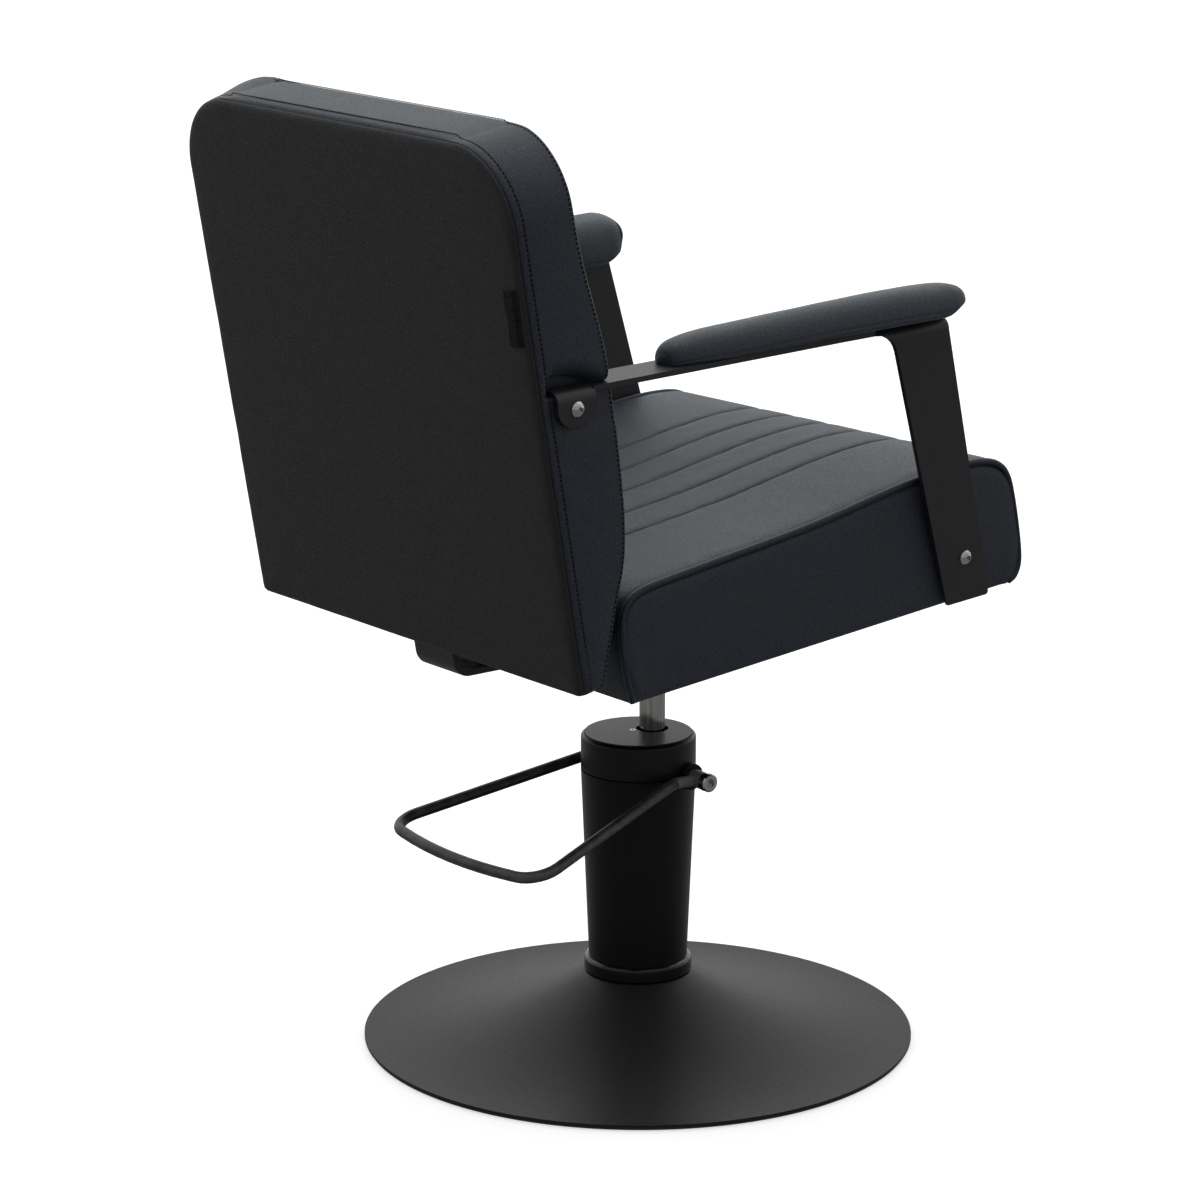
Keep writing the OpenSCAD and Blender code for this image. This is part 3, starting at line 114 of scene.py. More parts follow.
def seat_frame(p):
    """Points in the seat's own plane, to the row frame, with the padding settled on its left side."""
    c, s = math.cos(SEAT_TILT), math.sin(SEAT_TILT)
    share = (SEAT_REAR - p[..., 1]) / SEAT_L
    settled = np.interp(share, [a for a, _ in SETTLED], [b for _, b in SETTLED])
    z = p[..., 2] * (1 - settled * (SETTLE_MID + SETTLE_SLOPE * p[..., 0] / SEAT_HALF))
    return np.stack([p[..., 0], p[..., 1] * c + z * s, SEAT_Z - p[..., 1] * s + z * c], -1)


def back_frame(p):
    """Points as (x, depth in front of the rear plane, height along the slope), to the row frame."""
    c, s = math.cos(RECLINE), math.sin(RECLINE)
    return np.stack([p[..., 0], BACK_Y - p[..., 1] * c + p[..., 2] * s,
                     BACK_Z + p[..., 1] * s + p[..., 2] * c], -1)


def arm_frame(p):
    """Points above the arm strip's own plane, to the row frame."""
    c, s = math.cos(ARM_RISE), math.sin(ARM_RISE)
    return np.stack([p[..., 0], p[..., 1] * c + p[..., 2] * s, ARM_Z - p[..., 1] * s + p[..., 2] * c], -1)


def build(name, verts, faces, finish, body, weld):
    """One welded, smooth shaded mesh that rides its body."""
    me = bpy.data.meshes.new(name)
    me.from_pydata([tuple(v) for v in np.asarray(verts, float)], [], [tuple(int(i) for i in f) for f in faces])
    me.update()
    ob = bpy.data.objects.new(name, me)
    bpy.context.collection.objects.link(ob)
    bm = bmesh.new()
    bm.from_mesh(me)
    if weld:
        bmesh.ops.remove_doubles(bm, verts=bm.verts, dist=weld)
        bmesh.ops.dissolve_degenerate(bm, edges=bm.edges, dist=weld / 2)
    bmesh.ops.recalc_face_normals(bm, faces=bm.faces)
    bm.to_mesh(me)
    bm.free()
    me.polygons.foreach_set("use_smooth", [True] * len(me.polygons))
    me.materials.append(finish)
    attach(ob, body)
    return ob


def grid_faces(rows, cols, offset=0, closed=False):
    out = []
    for i in range(rows - 1):
        for j in range(cols if closed else cols - 1):
            k = (j + 1) % cols
            out.append((offset + i * cols + j, offset + i * cols + k,
                        offset + (i + 1) * cols + k, offset + (i + 1) * cols + j))
    return out


def tube(path, radius, sides):
    """Verts and faces of a round tube along a path, with pointed ends."""
    p = np.asarray(path, float)
    d = np.gradient(p, axis=0)
    d /= np.linalg.norm(d, axis=1, keepdims=True)
    ref = np.array([1.0, 0, 0]) if abs(d[len(d) // 2][0]) < 0.9 else np.array([0, 0, 1.0])
    side = np.cross(d, ref)
    side /= np.linalg.norm(side, axis=1, keepdims=True)
    top = np.cross(side, d)
    a = np.linspace(0, 2 * math.pi, sides, endpoint=False)
    rings = p[:, None, :] + radius * (side[:, None, :] * np.cos(a)[None, :, None]
                                      + top[:, None, :] * np.sin(a)[None, :, None])
    v = list(rings.reshape(-1, 3)) + [p[0] - d[0] * radius * 0.5, p[-1] + d[-1] * radius * 0.5]
    f = grid_faces(len(p), sides, closed=True)
    n = len(p) * sides
    for j in range(sides):
        k = (j + 1) % sides
        f += [(n, k, j), (n + 1, n - sides + j, n - sides + k)]
    return v, f


def merged(parts):
    """Verts and faces of several pieces as one."""
    v, f = [], []
    for pv, pf in parts:
        f += [tuple(i + len(v) for i in q) for q in pf]
        v += [tuple(x) for x in pv]
    return v, f


def fade_noise(shape_u, shape_v, cells, seed):
    """Smooth seeded noise on a grid, from -1 to 1."""
    r = np.random.default_rng(seed)
    g = r.uniform(-1, 1, (cells[0] + 3, cells[1] + 3))
    u = np.linspace(0, cells[0], shape_u)
    v = np.linspace(0, cells[1], shape_v)
    iu, iv = np.minimum(u.astype(int), cells[0]), np.minimum(v.astype(int), cells[1])
    fu, fv = smooth(u - iu)[:, None], smooth(v - iv)[None, :]
    return ((g[iu][:, iv] * (1 - fu) + g[iu + 1][:, iv] * fu) * (1 - fv)
            + (g[iu][:, iv + 1] * (1 - fu) + g[iu + 1][:, iv + 1] * fu) * fv)


# Materials. The noise scales are in cells per metre.
NOISE_ROUGH = 0.55
HIDE_CLOUD, HIDE_PEBBLE, HIDE_PORE = 620.0, 640.0, 1500.0
HIDE_ROUGH, HIDE_GLOSS, HIDE_SWELL = 420.0, 680.0, 30.0
COAT_CLOUD, COAT_WEAR, COAT_ROUGH = 240.0, 90.0, 320.0


def material(name):
    m = bpy.data.materials.new(name)
    m.use_nodes = True
    nt = m.node_tree
    return m, nt, nt.nodes["Principled BSDF"]


def add(nt, kind, **values):
    n = nt.nodes.new(kind)
    for k, v in values.items():
        if k.startswith("in_"):
            n.inputs[k[3:].replace("_", " ")].default_value = v
        else:
            setattr(n, k, v)
    return n


def coords(nt, scale):
    tc = add(nt, "ShaderNodeTexCoord")
    mp = add(nt, "ShaderNodeMapping")
    mp.inputs["Scale"].default_value = scale if isinstance(scale, tuple) else (scale,) * 3
    nt.links.new(tc.outputs["Object"], mp.inputs["Vector"])
    return mp.outputs["Vector"]


def ramp(nt, source, stops):
    r = add(nt, "ShaderNodeValToRGB")
    e = r.color_ramp.elements
    while len(e) < len(stops):
        e.new(0.5)
    for el, (pos, col) in zip(e, stops):
        el.position = pos
        el.color = (*col, 1)
    nt.links.new(source, r.inputs["Fac"])
    return r.outputs["Color"]


def grey(v, tint=(1, 1, 1)):
    return tuple(v * t for t in tint)


def noise(nt, vec, scale, detail=3.0):
    n = add(nt, "ShaderNodeTexNoise", in_Scale=scale, in_Detail=detail, in_Roughness=NOISE_ROUGH)
    nt.links.new(vec, n.inputs["Vector"])
    return n.outputs["Fac"]


def cracks(nt, vec, scale):
    n = add(nt, "ShaderNodeTexVoronoi", feature="DISTANCE_TO_EDGE")
    n.inputs["Scale"].default_value = scale
    nt.links.new(vec, n.inputs["Vector"])
    return n.outputs["Distance"]


def maths(nt, op, a, b):
    n = add(nt, "ShaderNodeMath", operation=op)
    for i, v in enumerate((a, b)):
        if isinstance(v, (int, float)):
            n.inputs[i].default_value = v
        else:
            nt.links.new(v, n.inputs[i])
    return n.outputs["Value"]


def bump(nt, height, strength, distance, below=None):
    b = add(nt, "ShaderNodeBump", in_Strength=strength, in_Distance=distance)
    nt.links.new(height, b.inputs["Height"])
    if below is not None:
        nt.links.new(below, b.inputs["Normal"])
    return b.outputs["Normal"]


def leather(name, low, high, tint, spec=0.3, rough=(0.42, 0.56), grain=0.35, sheen=0.10,
            shine=(0.93, 1.0, 0.99)):
    """Grained leather: cloudy colour, uneven gloss, pebbles in the bump, a faint sheen."""
    m, nt, b = material(name)
    vec = coords(nt, 1.0)
    cloud = noise(nt, vec, HIDE_CLOUD, 3.0)
    col = ramp(nt, cloud, [(0.32, grey(low * 0.72, tint)), (0.68, grey(high * 1.28, tint))])
    nt.links.new(col, b.inputs["Base Color"])
    pebble = cracks(nt, vec, HIDE_PEBBLE)
    fine = noise(nt, vec, HIDE_PORE, 3.0)
    rr = ramp(nt, noise(nt, vec, HIDE_ROUGH, 3.0), [(0.3, grey(rough[0])), (0.7, grey(rough[1]))])
    nt.links.new(rr, b.inputs["Roughness"])
    n1 = bump(nt, noise(nt, vec, HIDE_SWELL, 2.0), 0.05, 0.003)
    n2 = bump(nt, ramp(nt, pebble, [(0.0, grey(0.0)), (0.16, grey(1.0))]), grain, 0.0010, n1)
    n3 = bump(nt, fine, grain * 0.8, 0.0006, n2)
    nt.links.new(n3, b.inputs["Normal"])
    creased = noise(nt, vec, HIDE_GLOSS, 4.0)
    gloss = ramp(nt, creased, [(0.3, grey(spec * 0.68)), (0.7, grey(spec * 1.3))])
    nt.links.new(gloss, b.inputs["Specular IOR Level"])
    b.inputs["Specular Tint"].default_value = (*shine, 1)
    b.inputs["Sheen Weight"].default_value = sheen
    b.inputs["Sheen Roughness"].default_value = 0.35
    b.inputs["Sheen Tint"].default_value = (0.74, 1.0, 0.97, 1)
    return m


def coated(name, low, high, rough, speckle=0.25, scale=700.0, edge=None, tint=(1, 1, 1), spec=0.5):
    """Powder coat or paint: fine orange peel, slight mottling, and rubbed edges where given."""
    m, nt, b = material(name)
    vec = coords(nt, 1.0)
    cloud = noise(nt, vec, COAT_CLOUD, 5.0)
    col = ramp(nt, cloud, [(0.25, grey(low, tint)), (0.75, grey(high, tint))])
    if edge:
        geo = add(nt, "ShaderNodeNewGeometry")
        worn = ramp(nt, maths(nt, "ADD", geo.outputs["Pointiness"],
                              maths(nt, "MULTIPLY", noise(nt, vec, COAT_WEAR, 4.0), 0.06)),
                    [(0.55, (0, 0, 0)), (0.62, (1, 1, 1))])
        mix = add(nt, "ShaderNodeMix", data_type="RGBA")
        nt.links.new(worn, mix.inputs[0])
        nt.links.new(col, mix.inputs[6])
        mix.inputs[7].default_value = (*edge, 1)
        col = mix.outputs[2]
    nt.links.new(col, b.inputs["Base Color"])
    rr = ramp(nt, noise(nt, vec, COAT_ROUGH, 4.0),
              [(0.3, grey(rough * 0.93)), (0.7, grey(min(1, rough * 1.07)))])
    nt.links.new(rr, b.inputs["Roughness"])
    peel = noise(nt, vec, scale, 2.0)
    nt.links.new(bump(nt, peel, speckle, 0.0003), b.inputs["Normal"])
    b.inputs["Specular IOR Level"].default_value = spec
    return m


def metal(name, low, high, rough, stretch=(1, 1, 40), tint=(1, 1, 1)):
    """Bare or plated metal, with its tool lines drawn out by the stretch."""
    m, nt, b = material(name)
    vec = coords(nt, stretch)
    lines = noise(nt, vec, 60.0, 5.0)
    col = ramp(nt, lines, [(0.25, grey(low, tint)), (0.75, grey(high, tint))])
    nt.links.new(col, b.inputs["Base Color"])
    rr = ramp(nt, noise(nt, coords(nt, 1.0), 30.0, 4.0), [(0.3, grey(rough * 0.75)), (0.7, grey(rough * 1.3))])
    nt.links.new(rr, b.inputs["Roughness"])
    nt.links.new(bump(nt, lines, 0.08, 0.0002), b.inputs["Normal"])
    b.inputs["Metallic"].default_value = 1.0
    return m


def rubber(name):
    m, nt, b = material(name)
    vec = coords(nt, 1.0)
    tone = ramp(nt, noise(nt, vec, 40.0), [(0.3, grey(0.012)), (0.7, grey(0.022))])
    nt.links.new(tone, b.inputs["Base Color"])
    rough = ramp(nt, noise(nt, vec, 70.0), [(0.3, grey(0.55)), (0.7, grey(0.75))])
    nt.links.new(rough, b.inputs["Roughness"])
    nt.links.new(bump(nt, noise(nt, vec, 500.0), 0.25, 0.0002), b.inputs["Normal"])
    return m


def wood(name):
    m, nt, b = material(name)
    vec = coords(nt, (6, 40, 260))
    g = noise(nt, vec, 2.0, 6.0)
    nt.links.new(ramp(nt, g, [(0.25, (0.42, 0.28, 0.15)), (0.5, (0.58, 0.42, 0.25)), (0.8, (0.66, 0.5, 0.32))]),
                 b.inputs["Base Color"])
    nt.links.new(ramp(nt, g, [(0.3, grey(0.6)), (0.7, grey(0.8))]), b.inputs["Roughness"])
    nt.links.new(bump(nt, g, 0.2, 0.0004), b.inputs["Normal"])
    return m


def woven(name, low, high, pitch):
    """Cloth or thread, from two crossed waves."""
    m, nt, b = material(name)
    vec = coords(nt, 1.0)
    wx = add(nt, "ShaderNodeTexWave", bands_direction="X", in_Scale=1 / pitch / 20)
    wz = add(nt, "ShaderNodeTexWave", bands_direction="Z", in_Scale=1 / pitch / 20)
    nt.links.new(vec, wx.inputs["Vector"])
    nt.links.new(vec, wz.inputs["Vector"])
    w = maths(nt, "MULTIPLY", wx.outputs["Fac"], wz.outputs["Fac"])
    nt.links.new(ramp(nt, maths(nt, "ADD", w, noise(nt, vec, 300.0)), [(0.4, grey(low)), (1.0, grey(high))]),
                 b.inputs["Base Color"])
    nt.links.new(ramp(nt, noise(nt, vec, 120.0), [(0.3, grey(0.75)), (0.7, grey(0.95))]), b.inputs["Roughness"])
    nt.links.new(bump(nt, w, 0.5, 0.0003), b.inputs["Normal"])
    b.inputs["Specular IOR Level"].default_value = 0.2
    return m


def dress(ob, finish):
    """The finish in each material slot of a CAD mesh."""
    if not ob.material_slots:
        ob.data.materials.append(finish)
    for ms in ob.material_slots:
        ms.material = finish


HIDE = (0.0092, 0.0106, (0.72, 0.95, 1.95))
LEATHER = leather("leather_black", *HIDE, spec=0.36)
LEATHER_REAR = leather("leather_rear", 0.0085, 0.0100, (0.98, 1.0, 1.06), spec=0.26, rough=(0.5, 0.6),
                       sheen=0.02, shine=(1.0, 0.98, 1.0))
LEATHER_PAD = leather("leather_pads", *HIDE, spec=0.46, sheen=0.24)
PIPING = leather("leather_piping", *HIDE, rough=(0.38, 0.5), grain=0.2)
THREAD = woven("thread_black", 0.0006, 0.0018, 0.0006)
TAB_CLOTH = woven("tab_cloth", 0.002, 0.007, 0.0008)
FINISH = {
    "base_paint": coated("base_matt", 0.0105, 0.0120, 0.46, speckle=0.5, scale=900.0, spec=0.17),
    "column_paint": coated("column_satin", 0.0030, 0.0038, 0.36, speckle=0.2, scale=500.0, spec=0.16),
    "frame_paint": coated("frame_powder", 0.0095, 0.0115, 0.45, speckle=0.45, scale=1100.0,
                          tint=(0.96, 0.98, 1.2), spec=0.35),
    "pedal_paint": coated("pedal_powder", 0.007, 0.011, 0.42, speckle=0.3, scale=600.0,
                          edge=(0.12, 0.12, 0.12), spec=0.36),
    "black_gloss_paint": coated("ring_gloss", 0.003, 0.004, 0.13, speckle=0.06, scale=200.0, spec=0.3),
    "raw_iron": coated("iron_primed", 0.10, 0.15, 0.65, speckle=0.6, scale=300.0),
    "steel": metal("steel_zinc", 0.36, 0.52, 0.22),
    "dark_steel": coated("steel_black_oxide", 0.02, 0.035, 0.4, speckle=0.15, scale=400.0),
    "bright_steel": metal("nickel", 0.30, 0.44, 0.12, stretch=(1, 1, 1), tint=(1.0, 0.97, 0.92)),
    "chrome_rod": metal("chrome_ground", 0.16, 0.50, 0.16, stretch=(7, 7, 0.25), tint=(1.0, 0.98, 0.95)),
    "bronze": metal("bronze_turned", 0.4, 0.52, 0.3, tint=(1.0, 0.78, 0.42)),
    "black_rubber": rubber("rubber_black"),
    "lining_cloth": woven("lining", 0.008, 0.02, 0.0012),
    "woven_tab": TAB_CLOTH,
    "plywood": wood("birch_ply"),
    "black_leather": LEATHER,
}
slots = {s["node"]: s["material_slot"] for s in frame["record"]["subparts"]}
for name, ob in nodes.items():
    dress(ob, FINISH[slots[name]])
# The upper cover: a little brighter, with painted shade at its lowest 2 mm, where it meets the lower one: no
# specular there, standing in for the shade in the gap between the covers
PARTING_SHADE_RATE = 350.0  # per metre above the cover's lower end
HEAD_SPEC = 0.2
head_paint = coated("column_satin_upper", 0.0042, 0.0050, 0.34, speckle=0.2, scale=500.0, spec=HEAD_SPEC)
parting = min((nodes["head_cover"].matrix_world @ v.co).z for v in nodes["head_cover"].data.vertices)
nt = head_paint.node_tree
place = add(nt, "ShaderNodeSeparateXYZ")
nt.links.new(add(nt, "ShaderNodeTexCoord").outputs["Object"], place.inputs[0])
near_edge = maths(nt, "SUBTRACT", place.outputs["Z"], parting)
shader = nt.nodes["Principled BSDF"]
# Painted shade: the specular level is nil up to about 1.4 mm above the cover's lower end and rises to HEAD_SPEC
# by 2 mm, darkening the line where the covers meet
gloss = ramp(nt, maths(nt, "MULTIPLY", near_edge, PARTING_SHADE_RATE), [(0.5, grey(0.0)), (0.7, grey(HEAD_SPEC))])
nt.links.new(gloss, shader.inputs["Specular IOR Level"])
dress(nodes["head_cover"], head_paint)
dress(nodes["bleed_screw"], FINISH["bright_steel"])


# Seat


def seam_profile(x, seams, depth, width, crest):
    """Height across a panel with a groove at each seam, and the distance to the nearest seam."""
    d = np.min(np.abs(np.asarray(x)[..., None] - np.asarray(seams)), axis=-1)
    return -depth * np.exp(-d / width) + crest * (1 - np.exp(-d / (2.2 * width))), d


def half_stations(edge):
    """Places across a panel, close together at the seams and the edge."""
    near = [0.0, 0.0007, 0.0016, 0.003, 0.005, 0.008, 0.012, 0.017, 0.022]
    xs = set()
    for seam in (0.0, PITCH, 2 * PITCH):
        for n in near:
            for x in (seam + n, seam - n):
                if x >= 0:
                    xs.add(round(x, 5))
        xs.add(round(seam + PITCH / 2, 5))
    for x in np.linspace(2 * PITCH + 0.03, edge - 0.03, 7):
        xs.add(round(float(x), 5))
    for n in (0.022, 0.015, 0.010, 0.0065, 0.004, 0.002, 0.0):
        xs.add(round(edge - n, 5))
    return np.array(sorted(xs))


HEEL_SHARE, NOSE_SHARE, NOSE_FOOT = 0.075, 0.93, 0.957
SEAT_SEAM = (0.0024, 0.0021, 0.0005)  # the channels' depth, width and crest
SIDE_PUFF, NOSE_PUFF = 0.0016, 0.0035
SEAT_SIDE_IN, SEAT_PANEL_IN = 0.0012, 0.0052
SEAT_EDGE_DIP, SEAT_EDGE_RUN = 0.0030, 0.0045
# The side border tucks in at its foot and under the piping, and lies flat where it gets short
FOOT_TUCK, FOOT_TUCK_RUN, WELT_TUCK, WELT_TUCK_RUN = 0.0012, 0.02, 0.0050, 0.035
SPOKE_FULL, WELT_DROP, WELT_SHIFT = 0.05, 0.0042, 0.0040
SIDE_WAVE, PUCKER, PUCKER_SEAM, PUCKER_EDGE, TOP_WAVE = 0.0003, 0.00035, 0.008, 0.01, 0.00012
PIPING_R, PIPING_SINK = 0.0031, 0.75
STITCH_R, STITCH_PITCH, STITCH_DEPTH, STITCH_RISE = 0.00035, 0.0042, -0.0023, 0.00025


def seat_piece():
    """The seat's leather, its piping and its seam threads."""
    m = 210
    line = catmull([(SEAT_REAR - SEAT_L * a, SEAT_H * b, a) for a, b in SEAT_SHARES], m)
    tan = np.gradient(line[:, :2], axis=0)
    tan /= np.linalg.norm(tan, axis=1, keepdims=True)
    nor = np.stack([tan[:, 1], -tan[:, 0]], 1)
    nose = int(np.argmax(line[:, 2] > NOSE_SHARE))
    foot = line[:, 2].copy()
    foot[nose:] = np.linspace(foot[nose - 1], NOSE_FOOT, m - nose + 1)[1:]
    heel = int(np.argmax(line[:, 2] > HEEL_SHARE))
    foot[:heel + 1] = foot[heel] * np.linspace(0, 1, heel + 1)
    q = np.stack([SEAT_REAR - SEAT_L * foot, np.zeros(m)], 1)
    edge = SEAT_HALF - SEAT_PANEL_IN
    xs = half_stations(edge)
    h, d = seam_profile(xs, [0, PITCH, 2 * PITCH], *SEAT_SEAM)
    h = h - SEAT_EDGE_DIP * np.exp(-(edge - xs) / SEAT_EDGE_RUN)
    fs = np.array([0, 0.02, 0.06, 0.12, 0.2, 0.3, 0.4, 0.5, 0.6, 0.7, 0.8, 0.87, 0.92, 0.95, 0.975, 1.0])
    bulge = (-FOOT_TUCK * np.exp(-fs / FOOT_TUCK_RUN) + SIDE_PUFF * np.sin(np.pi * fs) ** 0.8
             - WELT_TUCK * np.exp(-(1 - fs) / WELT_TUCK_RUN))
    along = np.concatenate([[0], np.cumsum(np.linalg.norm(np.diff(line[:, :2], axis=0), axis=1))])
    wave = fade_noise(m, len(xs), (60, 26), 3)
    wave_side = fade_noise(m, len(fs), (20, 4), 4)
    rings = []
    for i in range(m):
        p, n = line[i, :2], nor[i]
        ends = min(1.0, i / 6, (m - 1 - i) / 5)
        spoke = min(1.0, float(np.linalg.norm(p - q[i])) / SPOKE_FULL)
        pts = []
        for k, f in enumerate(fs):
            b = q[i] + (p - q[i]) * f
            z = -WELT_DROP * smooth(np.array((f - 0.9) / 0.1)) * spoke
            soft = bulge[k] + SIDE_WAVE * wave_side[i, k] * math.sin(math.pi * f)
            out = SEAT_HALF - SEAT_SIDE_IN + soft * spoke - WELT_SHIFT * (1 - spoke) * f
            pts.append((out, b[0] + n[0] * z, b[1] + n[1] * z))
        for k in range(len(xs) - 1, -1, -1):
            close = math.exp(-d[k] / PUCKER_SEAM) + math.exp(-(edge - xs[k]) / PUCKER_EDGE)
            z = (h[k] + PUCKER * wave[i, k] * close + TOP_WAVE * wave[i, k]) * ends
            pts.append((xs[k], p[0] + n[0] * z, p[1] + n[1] * z))
        rings.append(pts + [(-x, y, z) for x, y, z in reversed(pts[:-1])])
    rings = np.array(rings)
    cols = rings.shape[1]
    v = list(seat_frame(rings).reshape(-1, 3))
    f = grid_faces(m, cols, closed=True)
    f.append(tuple(range(len(fs) - 1, cols - len(fs) + 1)))
    # The return under the nose, bridged between the two side borders
    left = rings[m - 1, :len(fs)]
    span = np.linspace(1, -1, 25)
    rows = []
    for k, pt in enumerate(left):
        puff = NOSE_PUFF * math.sin(math.pi * fs[k]) * (1 - np.abs(span) ** 6)
        rows.append(np.stack([pt[0] * span, pt[1] - puff, np.full(25, pt[2])], 1))
    rows = np.array(rows)
    off = len(v)
    v += list(seat_frame(rows).reshape(-1, 3))
    f += grid_faces(len(left), 25, off)
    # Strip between the last row and the panel's own edge
    top = rings[m - 1, len(fs) - 1:cols - len(fs) + 1]
    low_y = np.interp(top[:, 0], rows[-1][::-1, 0], rows[-1][::-1, 1])
    base = len(v)
    v += list(seat_frame(top))
    v += list(seat_frame(np.stack([top[:, 0], low_y, np.full(len(top), left[-1][2])], 1)))
    for j in range(len(top) - 1):
        f.append((base + j, base + j + 1, base + len(top) + j + 1, base + len(top) + j))
    ob = build("seat_upholstery", v, f, LEATHER, "seat", weld=2e-5)
    # Piping along both edges
    parts = []
    for side in (1, -1):
        pth = []
        for i in range(m):
            p, n = line[i, :2], nor[i]
            pth.append((side * (SEAT_HALF - WELT_R - 0.0002),
                        p[0] - n[0] * WELT_R * PIPING_SINK, p[1] - n[1] * WELT_R * PIPING_SINK))
        parts.append(tube(seat_frame(np.array(pth)), PIPING_R, 14))
    v, f = merged(parts)
    build("seat_piping", v, f, PIPING, "seat", weld=0)
    # Seam threads in the channels
    parts = []
    for seam in (-2, -1, 0, 1, 2):
        x = seam * PITCH
        s = 0.03
        while s < along[-1] - 0.012:
            pth = []
            for ds in (0.0, 0.0009, 0.0018, 0.0027):
                yz = np.array([np.interp(s + ds, along, line[:, 0]), np.interp(s + ds, along, line[:, 1])])
                n = np.array([np.interp(s + ds, along, nor[:, 0]), np.interp(s + ds, along, nor[:, 1])])
                lift = STITCH_DEPTH + (STITCH_RISE if ds in (0.0009, 0.0018) else 0.0)
                pth.append((x, yz[0] + n[0] * lift, yz[1] + n[1] * lift))
            parts.append(tube(seat_frame(np.array(pth)), STITCH_R, 5))
            s += STITCH_PITCH
    v, f = merged(parts)
    build("seat_stitching", v, f, THREAD, "seat", weld=0)
    return ob


seat = seat_piece()
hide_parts("seat_cushion")


# Back


def back_depth(s):
    """Depth of the front face at a height along the slope."""
    table = [(a * BACK_H, b * BACK_DEPTH) for a, b in BACK_SHARES]
    steps = len(BACK_TOP) - 1
    for i in range(1, steps + 1):
        table.append((BACK_H - BACK_R * (1 - math.sin(math.radians(90 * i / steps))), BACK_TOP[i] * BACK_DEPTH))
    t = np.array(table)
    keep = np.concatenate([[True], np.diff(t[:, 0]) > 1e-5])
    line = catmull(t[keep], 400)
    return np.interp(s, line[:, 0], line[:, 1])


# The dent's depth, the height over which it fades, and its lower edge's height and rise
DENT, DENT_H, DENT_FLAT, DENT_RISE = 0.0160, 0.016, 0.0008, 0.0105
RISE_FROM, RISE_RUN = 0.236, 0.042
# Its share at the rear end, and where it grows to the whole
DENT_SHARE, DEEP_FROM, DEEP_RUN = 0.50, 0.234, 0.026
# Where the dent starts and ends along the arm, and the lengths over which it does so
DENT_FROM, DENT_FROM_FADE, DENT_TO, DENT_TO_FADE = 0.205, 0.02, 0.304, 0.014
# The plate's underside, and the shallow mark of its tab below it
UNDER, UNDER_FADE = 0.0056, 0.0012
TAB_PRESS, TAB_DROP, TAB_FADE, TAB_TOP, TAB_TOP_FADE = 0.0014, 0.04, 0.008, 0.004, 0.006


def dent(x, t, s):
    """How far the arm plate presses the side border in, at a point of the border."""
    w = back_frame(np.stack([x, t, s], -1))
    dy, dz = w[..., 1], w[..., 2] - ARM_Z
    c, sn = math.cos(ARM_RISE), math.sin(ARM_RISE)
    ay, az = dy * c - dz * sn, dy * sn + dz * c
    window = smooth((ay - DENT_FROM) / DENT_FROM_FADE) * smooth((DENT_TO - ay) / DENT_TO_FADE)
    lip = np.clip((az - DENT_FLAT - DENT_RISE * smooth((ay - RISE_FROM) / RISE_RUN)) / DENT_H, 0, 1)
    deep = DENT * (DENT_SHARE + (1 - DENT_SHARE) * smooth((ay - DEEP_FROM) / DEEP_RUN))
    above = deep * (1 - np.sqrt(1 - (1 - lip) ** 2)) * smooth((az + UNDER) / UNDER_FADE) * (lip < 1)
    tab = TAB_PRESS * smooth((az + TAB_DROP) / TAB_FADE) * smooth((TAB_TOP - az) / TAB_TOP_FADE)
    return window * (above + tab)


# The fuller corner: how much, how deep from the rear seam, how far round, and its way out and up
CORNER_PUFF, PUFF_DEPTH, PUFF_START, PUFF_OUT, PUFF_UP = 0.0110, 0.06, 1.7, 0.9, 0.7
# How far in, over how many columns and how much rearward the dent draws the front panel's edge
CORNER_REACH, CORNER_COLUMNS, CORNER_DROP = 0.05, 14, 0.25
ROW_REAR, ROW_FRONT = 0.0086, 0.0036  # the stitch rows' distance from the rear and the front seam
REAR_DIP, REAR_DIP_W, FRONT_DIP, FRONT_DIP_W = 0.0004, 0.0009, 0.0003, 0.0008
BACK_SEAM = (0.0042, 0.0042, 0.0022)  # the channels' depth, width and crest
SIDE_IN, PANEL_IN = 0.0008, 0.0058  # how far the border and the front panel's edge lie inside the outline
DENSE, FULL, THIN = 0.0125, 0.0325, 0.045  # the rows near a seam, their scale, and where it is used
# The border swells between its seams and tucks in at them, over these lengths
BORDER_PUFF, TOP_PUFF, TOP_TUCK = 0.0016, 0.0034, 0.0036
REAR_TUCK, REAR_RUN, FRONT_TUCK, FRONT_RUN = 0.0046, 0.0013, 0.0022, 0.0020
FOOT_IN, FOOT_RUN = 0.0070, 0.0045
# The front panel: its level, the dip at its edge, and where the channels run out at foot and top
FRONT_LEVEL, EDGE_DIP, EDGE_RUN = 0.0012, 0.0042, 0.0028
CHANNEL_FOOT, CHANNEL_TOP, CHANNEL_LEFT = 0.012, 0.006, 0.15
BORDER_WAVE, FRONT_WAVE, PUCKER_RUN = 0.0003, 0.0002, 0.006
ARM_FROM, ARM_TO = 0.262, 0.33  # closer rows beside the arm plate


